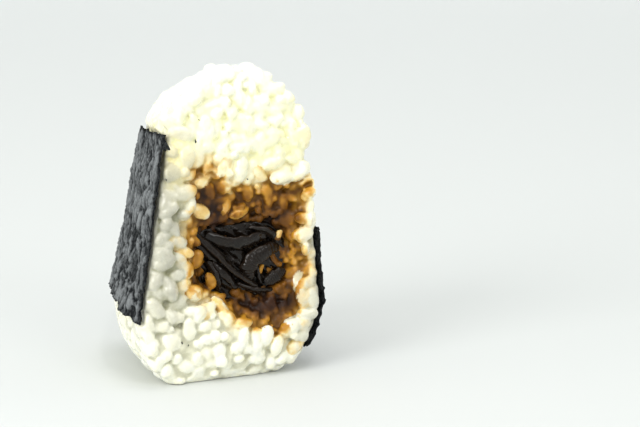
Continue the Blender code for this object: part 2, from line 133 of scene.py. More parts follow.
# Darker and lighter places in the soaked rice: centre (x, z), half size (x, z) in mm, and added strength
SOAKED_PLACES = (
    ((-8.0, 46.8), (3.4, 2.0), 0.26),
    ((-3.6, 41.2), (3.4, 3.4), 0.30),
    ((-2.0, 38.0), (7.0, 2.4), 0.20),
    ((2.4, 41.6), (3.2, 2.6), -0.14),
    ((12.0, 39.6), (4.6, 2.0), 0.26),
    ((12.6, 36.6), (3.0, 2.6), 0.16),
    ((7.5, 17.8), (8.6, 2.6), 0.40),
    ((12.6, 19.0), (4.0, 3.0), 0.16),
    ((-9.6, 25.6), (3.0, 1.6), 0.22),
    ((11.4, 14.4), (4.4, 1.8), -0.20),
    ((16.6, 28.5), (2.4, 6.0), -0.18),
    ((17.5, 46.0), (3.6, 4.0), -0.14),
    ((8.0, 44.6), (3.4, 3.2), -0.06),
    ((-12.0, 33.0), (3.0, 4.6), -0.26),
    ((-1.2, 47.6), (3.0, 2.6), -0.28),
    ((-8.0, 52.4), (4.0, 2.2), -0.24),
    ((-1.0, 17.5), (5.0, 2.2), -0.16),
)

# Outline of the kelp that shows, as (x, z) in mm: round it the soaked rice laps over the bundle
KELP_OUTLINE = (
    (-10.2, 38.4), (-6.4, 37.0), (-2.0, 36.2), (1.6, 35.9), (6.4, 38.3), (10.6, 36.7), (13.2, 33.8),
    (13.3, 30.8), (9.0, 29.4), (8.0, 27.2), (9.4, 25.4), (14.6, 26.8), (14.4, 23.0), (11.6, 20.2),
    (6.0, 20.6), (2.9, 21.6), (-3.2, 21.9), (-5.8, 23.4), (-7.2, 27.6), (-7.2, 32.6), (-9.4, 35.6),
)

# Kelp strips on the front of the filling: points as (x, depth behind the cut, z) in mm, width in mm,
# how far the flat side is turned from facing the front in degrees, and ribs across one strip.
KELP_STRIPS = (
    (((-6.6, 3.4, 36.4), (-0.7, 2.3, 34.0), (4.3, 1.9, 34.2), (9.7, 3.2, 35.0)), 4.3, 14, 0),
    (((5.0, 3.3, 37.4), (9.6, 2.5, 36.2), (12.9, 3.2, 33.0)), 3.0, 48, 0),
    (((-9.6, 3.2, 37.9), (-4.2, 2.0, 32.5), (1.1, 1.5, 27.1), (7.1, 2.6, 22.6)), 2.3, -42, 0),
    (((-9.9, 3.6, 36.0), (-6.2, 3.0, 32.8), (-2.6, 3.4, 29.2)), 2.6, -20, 0),
    (
        ((13.2, 3.0, 32.2), (9.2, 1.5, 31.7), (5.8, 1.2, 30.2), (4.2, 1.6, 27.6), (4.9, 2.8, 24.4)),
        4.2, 20, 17,
    ),
    (((9.4, 2.9, 23.3), (12.1, 2.1, 24.7), (14.8, 3.0, 25.9)), 3.6, -12, 12),
    (((-6.2, 3.1, 30.2), (-4.6, 2.3, 26.6), (-3.3, 3.2, 22.4)), 2.3, 38, 0),
    (((-4.8, 3.0, 29.8), (-1.5, 2.2, 26.7), (1.9, 3.2, 22.5)), 2.7, -28, 0),
    (((1.8, 3.2, 23.6), (6.4, 2.4, 21.5), (11.6, 3.0, 20.9)), 1.9, 55, 0),
    (((0.0, 3.8, 32.4), (3.0, 3.4, 30.6), (3.4, 3.9, 27.0)), 2.2, 10, 0),
    (((7.0, 3.9, 29.0), (8.2, 3.5, 26.0), (8.8, 3.9, 22.8)), 2.2, -30, 0),
)

# Grains that show one by one: (x, z) in mm, how far out of the face in mm, turn in degrees, size, soy
LONE_GRAINS = (
    (1.8, 53.2, 0.7, 80, 0.98, 0.0), (13.1, 50.5, 0.8, 5, 1.10, 0.0), (10.8, 54.4, 0.6, 15, 0.95, 0.0),
    (-2.6, 54.6, 0.3, 60, 0.90, 0.03), (7.0, 51.8, 0.2, 130, 0.85, 0.06), (17.6, 51.2, 0.5, 40, 0.85, 0.0),
    (-8.6, 51.2, 0.2, 25, 1.05, 0.11), (-13.6, 48.7, 0.6, 10, 0.98, 0.0), (-12.4, 45.2, 0.7, 55, 1.02, 0.0),
    (-8.7, 43.4, 0.9, 150, 0.88, 0.09), (12.9, 35.4, 1.0, 55, 0.42, 0.10), (8.5, 26.9, 0.6, 70, 0.44, 0.30),
    (-10.4, 36.2, 0.3, 140, 0.75, 0.42), (-9.4, 31.2, 0.5, 75, 0.92, 0.36),
    (-13.9, 34.0, 0.7, 160, 0.95, 0.09), (-13.2, 29.8, 0.6, 110, 0.92, 0.10),
    (-11.4, 23.4, 0.7, 160, 0.95, 0.20), (-5.6, 25.2, 0.4, 110, 0.72, 0.34),
    (-8.3, 18.0, 0.9, 50, 1.00, 0.04), (-4.2, 18.9, 0.6, 120, 0.95, 0.12), (2.6, 41.8, 0.4, 20, 0.80, 0.30),
    (-1.4, 43.6, 0.3, 70, 0.70, 0.24), (-7.6, 14.4, 0.6, 30, 0.90, 0.0), (-19.0, 32.0, 0.8, 20, 1.0, 0.0),
    (-18.2, 25.6, 0.9, 115, 1.12, 0.0), (-17.6, 17.6, 0.8, 10, 1.05, 0.0),
    (-13.0, 14.6, 0.8, 95, 1.05, 0.0), (-17.8, 11.8, 0.9, 130, 1.08, 0.0), (15.8, 12.2, 0.9, 10, 1.15, 0.0),
    (1.2, 11.0, 0.8, 75, 0.95, 0.0), (7.2, 10.2, 0.9, 60, 1.02, 0.0), (17.9, 23.0, 0.6, 80, 0.85, 0.02),
    (18.6, 19.0, 0.6, 110, 0.90, 0.03), (21.8, 18.5, 0.6, 100, 0.90, 0.0), (22.2, 14.2, 0.9, 20, 1.0, 0.0),
    (21.6, 10.0, 0.9, 150, 1.0, 0.0), (19.8, 6.8, 0.7, 30, 0.95, 0.06), (-14.0, 63.6, 0.8, 158, 1.12, 0.0),
    (-16.8, 66.4, 0.5, 150, 1.0, 0.0), (-12.8, 57.6, 0.7, 80, 1.05, 0.0), (-17.4, 54.4, 0.5, 20, 1.0, 0.0),
    (-19.6, 46.4, 0.6, 75, 1.05, 0.0), (-17.0, 40.2, 0.7, 120, 1.0, 0.0), (-20.6, 38.2, 0.6, 35, 1.0, 0.0),
    (-21.0, 28.2, 0.7, 60, 1.1, 0.0), (-15.6, 36.6, 0.7, 165, 1.0, 0.03), (-15.2, 28.6, 0.8, 20, 1.0, 0.0),
    (-21.4, 20.6, 0.7, 120, 1.05, 0.0),
)

# Loose flecks of nori on the rice: (x, z) in mm on the cut face, and length in mm
NORI_FLECKS = (
    (-18.4, 52.6, 0.8), (-20.4, 23.2, 1.5), (-17.6, 38.6, 0.7), (-9.4, 66.6, 0.6), (-10.6, 61.4, 0.9),
    (-20.8, 34.6, 0.8), (3.4, 50.8, 0.6), (-15.2, 11.4, 0.7), (-13.6, 10.6, 0.6), (-3.2, 1.2, 0.9),
    (9.6, 12.6, 0.5), (-18.8, 61.6, 4.4),
)

# The camera stands where the photograph's did: a turn and a rise, and the foot of the cut at one pixel
IMAGE_SIZE = (640, 427)
FOOT_PIXEL = (236, 378)
VIEW_TURN = math.radians(-25)
VIEW_RISE = math.radians(12)
VIEW_DISTANCE = 0.55
PIXELS_PER_METRE = 3970
SENSOR_WIDTH = 36.0

# Lamps, each a disk that looks at one aim: place, width and colour
AIM = (0.0, 0.0, 0.035)
LAMPS = {
    "key": ((0.03, -0.04, 0.80), 0.5, (1.0, 0.99, 0.96)),
    "glint": ((-0.10, -0.50, 0.70), 0.03, (1.0, 1.0, 1.0)),
    "bounce": ((-0.60, -0.25, 0.35), 0.4, (1.0, 1.0, 0.98)),
    "fill": ((0.15, -0.75, 0.45), 0.3, (1.0, 1.0, 0.98)),
}

# Floor: half its width, its front edge, where it bends up behind, the radius of the bend, and its height
FLOOR_HALF_WIDTH = 3.0
FLOOR_FRONT = -2.0
BEND_START = 1.2
BEND_RADIUS = 0.6
BACKDROP_HEIGHT = 3.5

# The floor's colour grows paler towards this side, behind and to the right: painted light on a plain pale
# floor
FAR_SIDE = (0.4, 0.9, 0.0)

# The light all round is brightest from this side, above and a little to the left, and dim from below
BRIGHT_SKY = (-0.25, 0.30, 0.92)


def colour_property(name, description, default):
    return bpy.props.FloatVectorProperty(
        name=name, description=description, default=default, subtype="COLOR", size=3, min=0.0, max=1.0
    )


def length_property(name, description, default):
    return bpy.props.FloatProperty(
        name=name, description=description, default=default, unit="LENGTH", precision=5, min=0.0
    )


def power_property(name, description, default):
    return bpy.props.FloatProperty(name=name, description=description, default=default, unit="POWER")


class RiceSettings(bpy.types.PropertyGroup):
    """Sizes and colours of the rice."""

    grain_length: length_property("Grain length", "Length of a cooked grain", 6.4 * MM)
    grain_width: length_property("Grain width", "Width of a cooked grain", 3.8 * MM)
    grain_thickness: length_property("Grain thickness", "Thickness of a cooked grain", 3.2 * MM)
    bed_spacing: length_property("Bed spacing", "Distance between the pressed grains", 2.75 * MM)
    free_spacing: length_property("Free spacing", "Distance between the grains that stand free", 3.75 * MM)
    detail: length_property("Detail", "Size of the grid that the sticky rice is remade on", 0.33 * MM)
    clean: colour_property("Clean rice", "Rice away from the filling", (0.89, 0.873, 0.72))
    cream: colour_property("Cream rice", "Patches on the peak", (0.90, 0.84, 0.57))
    # Painted shade in the hollows between grains: creamy on the peak and darker lower down
    peak_hollow_shade: colour_property("Creamy hollows", "Hollows between the grains of the peak", (0.83, 0.74, 0.42))
    shaded: colour_property("Shaded hollows", "Hollows between the grains lower down", (0.34, 0.335, 0.22))
    straw: colour_property("Straw rice", "Rice that the soy has just reached", (0.77, 0.575, 0.22))
    amber: colour_property("Amber rice", "Rice lightly soaked with soy", (0.52, 0.25, 0.020))
    brown: colour_property("Brown rice", "Rice well soaked with soy", (0.20, 0.080, 0.009))
    dark: colour_property("Dark rice", "Rice next to the kelp", (0.036, 0.013, 0.005))


class KelpSettings(bpy.types.PropertyGroup):
    """Sizes and colours of the simmered kelp."""

    strip_thickness: length_property("Strip thickness", "Thickness of one strip of kelp", 0.9 * MM)
    recess: length_property("Recess", "How far the bundle lies behind the cut", 4.0 * MM)
    flesh: colour_property("Kelp", "Colour of the simmered kelp", (0.0045, 0.0037, 0.0030))
    edge: colour_property("Kelp edge", "Colour where the kelp is thin", (0.016, 0.009, 0.005))


class NoriSettings(bpy.types.PropertyGroup):
    """Sizes and colours of the nori."""

    gap: length_property("Gap", "Distance of the nori's inner side from the pressed rice", 0.45 * MM)
    thickness: length_property("Thickness", "Thickness of the nori", 0.45 * MM)
    wrinkle: length_property("Wrinkle height", "Height of the crinkles", 0.85 * MM)
    # Painted sheen on the ridges of the crinkles and painted shade between them
    ridge: colour_property("Ridges", "Colour on the ridges of the crinkles", (0.21, 0.222, 0.228))
    valley_shade: colour_property("Valleys", "Colour between the crinkles", (0.003, 0.004, 0.005))


class StageSettings(bpy.types.PropertyGroup):
    """Floor, backdrop and lights."""

    # Near and far colours of one plain pale floor: their blend is painted light, paler behind
    near: colour_property("Floor", "Colour of the floor under the onigiri", (0.625, 0.645, 0.637))
    far: colour_property("Backdrop", "Colour of the backdrop", (0.93, 0.955, 0.95))
    key: power_property("Key", "Power of the key light", 1.75)
    fill: power_property("Fill", "Power of the fill light", 0.9)
    bounce: power_property("Bounce", "Power of the low light", 2.8)
    glint: power_property("Glint", "Power of the small lamp", 0.65)
    sky: bpy.props.FloatProperty(name="Sky", description="Strength of the light all round", default=0.98)


def climb(value, start, run):
    """0 up to the start, rising evenly to 1 over the run. With a negative run it falls to 0 at the start."""
    return np.clip((value - start) / run, 0, 1)


def smooth_step(share):
    """Eased share from 0 to 1: s^2 * (3 - 2 s)."""
    return share * share * (3 - 2 * share)


def signed_power(value, power):
    """|value|^power with the sign of the value, which makes superellipses out of sines and cosines."""
    return np.sign(value) * np.abs(value) ** power


def mound(x, z, centre, size, powers=(2, 2)):
    """1 at the centre of a patch, falling off over its half size as exp(-x^a - z^b), a and b being even."""
    across, up = (x - centre[0]) / size[0], (z - centre[1]) / size[1]
    return np.exp(-(across ** powers[0]) - up ** powers[1])


def foot_share(z):
    """1 on the floor, falling to 0 along a quarter circle where the foot's round meets the sides."""
    below = climb(z, FOOT_HEIGHT, -FOOT_HEIGHT)
    return 1 - np.sqrt(1 - below**2)


def peak_share(z, start):
    """1 where the peak starts to round over, falling to 0 at the top along a quarter circle."""
    above = climb(z, start, RICE_HEIGHT - start)
    return np.sqrt(1 - above**2)


def along_side(z, at_foot, at_peak):
    return at_foot + (at_peak - at_foot) * climb(z, 0, PEAK_START)


def half_thickness(z):
    flank = along_side(z, HALF_THICKNESS_AT_FOOT, HALF_THICKNESS_AT_PEAK)
    return (flank - FOOT_INSET_AT_SIDES * foot_share(z)) * peak_share(z, PEAK_START)


def reach(z):
    """How far the rice runs back from the cut at height z."""
    back = along_side(z, REACH_AT_FOOT, REACH_AT_PEAK)
    return (back - FOOT_INSET_AT_BACK * foot_share(z)) * peak_share(z, BACK_PEAK_START)


def middle(z):
    """How far the middle of the cut face lies towards +X at height z."""
    return FOOT_MIDDLE + LEAN * z / RICE_HEIGHT - FOOT_SHIFT * foot_share(z)


def inset(x, z):
    """How far a spot on the cut face lies inside the broad side next to it."""
    return half_thickness(z) - np.abs(x - middle(z))


def skin_table():
    """(x, y) of the outside on a grid of heights and shares of the way round.

    Each row is half a superellipse, |x / half thickness|^n + |y / reach|^n = 1, read evenly by arc length.
    The heights are RICE_HEIGHT * (1 - cos(pi w)) / 2 for even w, so they crowd at the foot and the peak.
    """
    turn = np.linspace(math.pi, 0, 361)
    z = RICE_HEIGHT * (1 - np.cos(math.pi * np.linspace(0, 1, SKIN_ROWS))) / 2
    power = (2 / along_side(z, SQUARENESS_AT_FOOT, SQUARENESS_AT_PEAK))[:, None]
    x = half_thickness(z)[:, None] * signed_power(np.cos(turn), power)
    y = reach(z)[:, None] * np.abs(np.sin(turn)) ** power
    length = np.hypot(np.diff(x), np.diff(y)).cumsum(axis=1)
    length = np.hstack([np.zeros((SKIN_ROWS, 1)), length]) / np.maximum(length[:, -1:], 1e-9)
    shares = np.linspace(0, 1, SKIN_COLUMNS)
    table = [np.stack([np.interp(shares, d, a), np.interp(shares, d, b)]) for d, a, b in zip(length, x, y)]
    return np.array(table)


SKIN = skin_table()


def skin_point(share, z):
    """Points of the outside at these shares and heights, read from the table by bilinear mixing."""
    share, z = np.broadcast_arrays(np.asarray(share, float), np.asarray(z, float))
    row = np.arccos(1 - 2 * climb(z, 0, RICE_HEIGHT)) / math.pi * (SKIN_ROWS - 1)
    column = np.clip(share, 0, 1) * (SKIN_COLUMNS - 1)
    i = np.minimum(row.astype(int), SKIN_ROWS - 2)
    j = np.minimum(column.astype(int), SKIN_COLUMNS - 2)
    f, g = row - i, column - j
    parts = []
    for k in (0, 1):
        low = SKIN[i, k, j] * (1 - g) + SKIN[i, k, j + 1] * g
        high = SKIN[i + 1, k, j] * (1 - g) + SKIN[i + 1, k, j + 1] * g
        parts.append(low * (1 - f) + high * f)
    return np.stack([parts[0] + middle(z), parts[1] + CUT_Y, z], axis=-1)


def unit(vectors):
    return vectors / np.maximum(np.linalg.norm(vectors, axis=-1, keepdims=True), 1e-12)


def skin_frame(share, z):
    """Points of the outside and their outward normals: the cross product of the ways up and round."""
    share, z = np.broadcast_arrays(np.asarray(share, float), np.asarray(z, float))
    around = skin_point(np.minimum(share + 0.006, 1), z) - skin_point(np.maximum(share - 0.006, 0), z)
    top = RICE_HEIGHT - 0.01 * MM
    higher = skin_point(share, np.minimum(z + 0.25 * MM, top))
    upwards = higher - skin_point(share, np.maximum(z - 0.25 * MM, 0))
    return skin_point(share, z), unit(np.cross(upwards, around))


def hash_of(cell, seed):
    """A fixed random number from 0 to 1 for each whole-number cell (x, y, z)."""
    x, y, z = (cell[..., k].astype(np.int64) for k in range(3))
    mixed = (x * 73856093) ^ (y * 19349663) ^ (z * 83492791) ^ (seed * 2654435761)
    mixed = (mixed ^ (mixed >> 13)) * 1274126177
    return ((mixed ^ (mixed >> 16)) & 0xFFFF) / 0xFFFF


def soft_noise(points, size, seed):
    """Smooth noise from -1 to 1: random numbers on a cubic lattice of this size, mixed by smoothsteps."""
    scaled = np.asarray(points) / size
    cell = np.floor(scaled)
    f = smooth_step(scaled - cell)
    total = 0.0
    for corner in np.ndindex(2, 2, 2):
        weight = np.prod([f[..., k] if corner[k] else 1 - f[..., k] for k in range(3)], axis=0)
        total = total + weight * hash_of(cell + np.array(corner), seed)
    return 2 * total - 1


def cut_relief(x, z):
    """How far the cut face lies behind the plane of the cut.

    The middle is hollow, the foot is full over a rounded lower edge, and the peak rolls back.
    """
    x, z = np.asarray(x) / MM, np.asarray(z) / MM
    hollow = mound(x, z, (4, 34), (15, 16))
    foot = mound(x, z, (-3, 10), (17, 7))
    under = climb(z, 7, -7) ** 2
    roll = climb(z, 58, 21) ** 2
    edge = 1 - np.minimum(1, np.abs(x - middle(z * MM) / MM) / (half_thickness(z * MM) / MM + 1)) ** 4
    return (HOLLOW * hollow * edge - SWELL * foot * edge + UNDERCUT * under + ROLL * roll) * MM


def beside_cut(points):
    """Moves the outside near the cut with the relief of the cut face, fading over 14 mm."""
    fade = 1 - climb(points[..., 1], CUT_Y, 14 * MM)
    moved = points.copy()
    moved[..., 1] += cut_relief(points[..., 0], points[..., 2]) * fade
    return moved


def nori_edges(share):
    """Heights of the nori's lower and upper edges at this share of the way round."""
    blend = smooth_step(climb(share, 0.22, 0.56))
    rise = NORI_RISE * np.sin(math.pi * climb(share, 0, 0.6))
    low, high = (left + (right - left) * blend for left, right in zip(NORI_LEFT_EDGES, NORI_RIGHT_EDGES))
    return low + rise, high - rise / 4


def filling_lumps(turn):
    """How far the filling's outline swells and shrinks about its superellipse, by the turn."""
    return 1 + 0.06 * np.sin(3 * turn + 0.6) + 0.04 * np.sin(5 * turn + 2.0)


def filling_size(x, z):
    """Size of the lumpy superellipse about the filling that runs through (x, z): 1 on its rim."""
    across = (x - FILLING_CENTRE[0]) / FILLING_HALF_SIZE[0]
    up = (z - FILLING_CENTRE[1]) / FILLING_HALF_SIZE[1]
    lumps = filling_lumps(np.arctan2(up, across))
    return (np.abs(across) ** FILLING_POWER + np.abs(up) ** FILLING_POWER) ** (1 / FILLING_POWER) / lumps


def inside_distance(x, z, outline):
    """Distance in mm to a closed outline: the least over its edges, and positive inside by crossings."""
    x, z = np.asarray(x) / MM, np.asarray(z) / MM
    nearest = np.full(x.shape, 1e9)
    inside = np.zeros(x.shape, bool)
    for (ax, az), (bx, bz) in zip(outline, outline[1:] + outline[:1]):
        t = np.clip(((x - ax) * (bx - ax) + (z - az) * (bz - az)) / ((bx - ax) ** 2 + (bz - az) ** 2), 0, 1)
        nearest = np.minimum(nearest, np.hypot(x - ax - t * (bx - ax), z - az - t * (bz - az)))
        crossed = (az > z) != (bz > z)
        inside ^= crossed & (x < (bx - ax) * (z - az) / (bz - az + 1e-12) + ax)
    return np.where(inside, nearest, -nearest)


def cut_depth(points):
    """Depth of the rice behind the plane of the cut: the relief, and a step down into the soaked rice."""
    x, z = points[..., 0], points[..., 2]
    shaken = 1.2 * soft_noise(points * (1, 0, 1), 3.2 * MM, 15)
    step = climb(inside_distance(x, z, SOAKED_OUTLINE) + shaken, -0.5, 1.6)
    return cut_relief(x, z) + SOAKED_STEP * step * step * (3 - 2 * step)


def soy_strength(points):
    """0 on clean rice to 1 on the darkest.

    It rises over 4 mm inside the soaked outline, whose line is shaken by noise, with a faint rim outside it.
    It fades over 9 mm behind the cut.
    """
    x, y, z = points[..., 0], points[..., 1], points[..., 2]
    shaken = 1.1 * soft_noise(points, 3.2 * MM, 11) + 0.6 * soft_noise(points, 1.3 * MM, 12)
    depth = inside_distance(x, z, SOAKED_OUTLINE) + shaken
    rim = 0.05 * climb(depth, -3.5, 3)
    strength = 0.50 * climb(depth, -0.8, 3.8) + rim
    for centre, size, added in SOAKED_PLACES:
        strength = strength + added * mound(x / MM, z / MM, centre, size) * climb(depth, 0, 1.5)
    strength = strength + 0.12 * soft_noise(points, 2.4 * MM, 13) * climb(depth, 0, 2)
    behind = 1 - climb(y - CUT_Y, 5 * MM, 9 * MM)
    return np.clip(strength * behind, 0, 1)


def rice_tint(points, hollow, rice, strength):
    """Linear colour of the rice.

    It is clean with cream patches on the peak, then straw, amber, brown and dark with the soy's strength.
    Painted shade greys the rice beside the nori and lower on the peak, and a painted shadow greys the right
    edge. The hollows between grains get painted shade, creamy on the peak and darker lower down, and darker
    where the soy is.
    """
    x, z = points[..., 0], points[..., 2]
    peak = climb(z, 44 * MM, 14 * MM)
    below_top = climb(z, 76 * MM, -10 * MM)
    patch = peak * below_top * np.clip(0.7 + 0.9 * soft_noise(points, 6.5 * MM, 14), 0, 1)
    # Painted shade over the rice beside the nori on the left, and a painted shadow down the right edge, as
    # from the onigiri's other half
    left = mound(x, z, (-19 * MM, 38 * MM), (7.5 * MM, 24 * MM), (2, 4))
    right = climb(x, 14 * MM, 3 * MM)
    strip = left + 0.6 * right * np.exp(-(((z - 20 * MM) / (17 * MM)) ** 4))
    # Painted shade lower on the peak, which leaves its top the brightest
    painted_peak_shade = 0.07 * climb(z, 66 * MM, -8 * MM) * peak
    clean = np.array(rice.clean) + (np.array(rice.cream) - np.array(rice.clean)) * patch[..., None]
    clean = clean * (1 - 0.46 * strip - painted_peak_shade)[..., None]
    # Painted shade in the hollows between grains: creamy on the peak, darker lower down, deepest in the
    # shaded strips
    deep = np.array(rice.shaded) + (np.array(rice.peak_hollow_shade) - np.array(rice.shaded)) * peak[..., None]
    hollow = np.clip(hollow, 0, 1)[..., None]
    soaked = climb(strength, 0, 0.2)[..., None]
    deepened = (0.6 + 0.4 * np.clip(strip, 0, 1))[..., None]
    clean = clean + (deep - clean) * hollow * (1 - soaked) * deepened
    stops = (0.0, 0.10, 0.27, 0.52, 0.95)
    ramp = [clean] + [np.array(c) for c in (rice.straw, rice.amber, rice.brown, rice.dark)]
    colour = clean
    for low, high, below, above in zip(stops, stops[1:], ramp, ramp[1:]):
        share = climb(strength, low, high - low)[..., None]
        colour = colour + (above - below) * share
    # Painted shade darkens the hollows of the soaked rice
    return colour * (1.15 - 0.6 * hollow * soaked)


def grid_faces(rows, columns, wrap):
    """Quads over a grid of rows and columns of vertices, closed round the columns if wrap is set."""
    index = np.arange(rows * columns).reshape(rows, columns)
    after = np.roll(index, -1, axis=1) if wrap else index[:, 1:]
    here = index if wrap else index[:, :-1]
    return np.stack([here[:-1], after[:-1], after[1:], here[1:]], axis=-1).reshape(-1, 4)


def tube_faces(rows, columns):
    """Faces of a closed tube: quads round its rings and a fan of triangles to a pole at each end."""
    quads = grid_faces(rows, columns, True)
    first = np.arange(columns)
    last = first + (rows - 1) * columns
    start, end = rows * columns, rows * columns + 1
    fans = [
        np.stack([np.roll(first, -1), first, np.full(columns, start)], axis=-1),
        np.stack([last, np.roll(last, -1), np.full(columns, end)], axis=-1),
    ]
    return quads, np.vstack(fans)


def many_tubes(count, rows, columns):
    """Faces of closed tubes whose points follow one another: the rings and then the two poles of each."""
    quads, fans = tube_faces(rows, columns)
    step = (np.arange(count) * (rows * columns + 2))[:, None, None]
    return (quads + step).reshape(-1, 4), (fans + step).reshape(-1, 3)


def signed_volume(points, quads, triangles):
    """Volume inside the faces, positive when they point outwards: the sum of tetrahedra to the origin."""
    corners = np.vstack([quads[:, [0, 1, 2]], quads[:, [0, 2, 3]], triangles.reshape(-1, 3)])
    a, b, c = (points[corners[:, k]] for k in range(3))
    return np.einsum("ij,ij->i", a, np.cross(b, c)).sum() / 6


def add_piece(name, points, quads, triangles, look, values):
    """A mesh object with outward faces and a value stored at each point for its material."""
    if signed_volume(points, quads, triangles) < 0:
        quads, triangles = quads[:, ::-1], triangles[:, ::-1]
    mesh = bpy.data.meshes.new(name)
    mesh.from_pydata(points.tolist(), [], quads.tolist() + triangles.tolist())
    for key, numbers in values.items():
        mesh.attributes.new(key, "FLOAT", "POINT").data.foreach_set("value", numbers.astype(np.float32))
    return finish_piece(name, mesh, look)


def finish_piece(name, mesh, look):
    """The object of a finished mesh, smooth and riding on the only body."""
    mesh.name = name
    mesh.shade_smooth()
    mesh.materials.clear()
    mesh.materials.append(look)
    mesh.update()
    piece = bpy.data.objects.new(name, mesh)
    bpy.context.scene.collection.objects.link(piece)
    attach(piece, BODY)
    return piece


def fill_inputs(made, inputs):
    """Links a node's inputs to the sockets, and sets the others to the values."""
    for key, value in dict(inputs).items():
        if isinstance(value, bpy.types.NodeSocket):
            made.id_data.links.new(value, made.inputs[key])
        else:
            made.inputs[key].default_value = value


def node_maker(tree):
    """A function that adds a node of a kind to this tree, with these inputs and settings."""

    def node(kind, inputs=(), **settings):
        made = tree.nodes.new(kind)
        for key, value in settings.items():
            setattr(made, key, value)
        fill_inputs(made, inputs)
        return made

    return node


def new_look(name):
    """A material, its Principled shader and a maker of nodes, or only the material if it is made already."""
    look = bpy.data.materials.get(name)
    if look:
        return look, None, None
    look = bpy.data.materials.new(name)
    look.use_nodes = True
    return look, look.node_tree.nodes["Principled BSDF"], node_maker(look.node_tree)


def noise_value(node, place, scale, detail=2.0, roughness=0.5):
    inputs = {"Vector": place, "Scale": scale, "Detail": detail, "Roughness": roughness}
    return node("ShaderNodeTexNoise", inputs).outputs["Fac"]


def spread(node, value, low, high, from_low=0.3, from_high=0.7):
    inputs = {"Value": value, "From Min": from_low, "From Max": from_high, "To Min": low, "To Max": high}
    return node("ShaderNodeMapRange", inputs).outputs["Result"]


def times(node, colour, factor):
    return node("ShaderNodeVectorMath", {0: colour, "Scale": factor}, operation="SCALE").outputs["Vector"]


def reach_along(node, vector, direction):
    """How far the vector goes in this direction."""
    return node("ShaderNodeVectorMath", {0: vector, 1: direction}, operation="DOT_PRODUCT").outputs["Value"]


def bumped(node, height, distance, strength):
    inputs = {"Height": height, "Distance": distance, "Strength": strength}
    return node("ShaderNodeBump", inputs).outputs["Normal"]


def mixed_colour(node, share, low, high):
    """Colour that runs from low to high with the share."""
    made = node("ShaderNodeMix", {0: share, 6: (*low, 1), 7: (*high, 1)}, data_type="RGBA")
    return made.outputs[2]


def rice_look():
    """Cooked rice: soft and translucent, moist gloss, faint starchy specks and a fine uneven skin.

    The weights of its shader follow the green of the tint, from dark soaked rice to clean rice.
    """
    look, shader, node = new_look("cooked rice")
    place = node("ShaderNodeTexCoord").outputs["Object"]
    tint = node("ShaderNodeAttribute", attribute_name="tint").outputs["Color"]
    cloud = noise_value(node, place, 420, 3.0)
    speck = noise_value(node, place, 1900, 2.0, 0.7)
    colour = times(node, tint, spread(node, cloud, 0.95, 1.04))
    green = node("ShaderNodeSeparateColor", {"Color": tint}).outputs["Green"]
    uneven = spread(node, noise_value(node, place, 700, 2.0), 0.20, 0.36)
    rough = node("ShaderNodeMath", {0: spread(node, green, 0.16, 0.0, 0.05, 0.6), 1: uneven})
    fill_inputs(shader, {
        "Base Color": times(node, colour, spread(node, speck, 0.98, 1.02)),
        "Roughness": rough.outputs[0],
        "Normal": bumped(node, noise_value(node, place, 1100, 3.0, 0.6), 0.10 * MM, 0.4),
        "Subsurface Weight": spread(node, green, 0.15, 0.9, 0.03, 0.5),
        "Subsurface Radius": (1.0, 0.97, 0.86),
        "Subsurface Scale": 0.45 * MM,
        "Specular IOR Level": spread(node, green, 0.15, 0.5, 0.1, 0.5),
        "Coat Weight": spread(node, green, 0.10, 0.5, 0.1, 0.5),
        "Coat Roughness": 0.12,
        "Sheen Weight": spread(node, green, 0.0, 0.25, 0.2, 0.6),
        "Sheen Roughness": 0.35,
        "Sheen Tint": (1.0, 0.99, 0.93, 1),
    })
    return look


def kelp_look(kelp):
    """Simmered kelp: near black and wet, browner where it is thin, with a fine uneven skin."""
    look, shader, node = new_look("simmered kelp")
    if node is None:
        return look
    place = node("ShaderNodeTexCoord").outputs["Object"]
    thin = node("ShaderNodeAttribute", attribute_name="thin").outputs["Fac"]
    patch = spread(node, noise_value(node, place, 380, 3.0), 0.0, 0.6)
    share = node("ShaderNodeMath", {0: thin, 1: patch}, operation="MAXIMUM").outputs[0]
    fill_inputs(shader, {
        "Base Color": mixed_colour(node, share, kelp.flesh, kelp.edge),
        "Roughness": spread(node, noise_value(node, place, 900, 2.0), 0.12, 0.34),
        "Normal": bumped(node, noise_value(node, place, 1300, 3.0, 0.6), 0.15 * MM, 0.4),
        "Specular IOR Level": 0.08,
        "Coat Weight": 0.9,
        "Coat Roughness": 0.035,
        "Coat IOR": 1.3,
    })
    return look


def nori_look(nori):
    """Roasted nori: dull dark sheet with a painted bluish sheen on its ridges and painted shade between
    them, with a papery fine grain.
    """
    look, shader, node = new_look("roasted nori")
    if node is None:
        return look
    place = node("ShaderNodeTexCoord").outputs["Object"]
    ridge = node("ShaderNodeAttribute", attribute_name="ridge").outputs["Fac"]
    grain = spread(node, noise_value(node, place, 1500, 3.0, 0.65), -0.22, 0.22)
    share = node("ShaderNodeMath", {0: ridge, 1: grain}, operation="ADD", use_clamp=True).outputs[0]
    fill_inputs(shader, {
        "Base Color": mixed_colour(node, share, nori.valley_shade, nori.ridge),
        "Roughness": spread(node, noise_value(node, place, 800, 2.0), 0.42, 0.62),
        "Normal": bumped(node, noise_value(node, place, 1700, 4.0, 0.65), 0.2 * MM, 0.7),
        "Specular IOR Level": 0.12,
    })
    return look


def height_steps(count):
    """Heights spaced evenly along the slope of the broad side, from the floor to the peak."""
    z = RICE_HEIGHT * (1 - np.cos(math.pi * np.linspace(0.0, 0.995, 400))) / 2
    slope = np.concatenate([[0], np.hypot(np.diff(half_thickness(z)), np.diff(z)).cumsum()])
    return np.interp(np.linspace(0, slope[-1], count), slope, z)


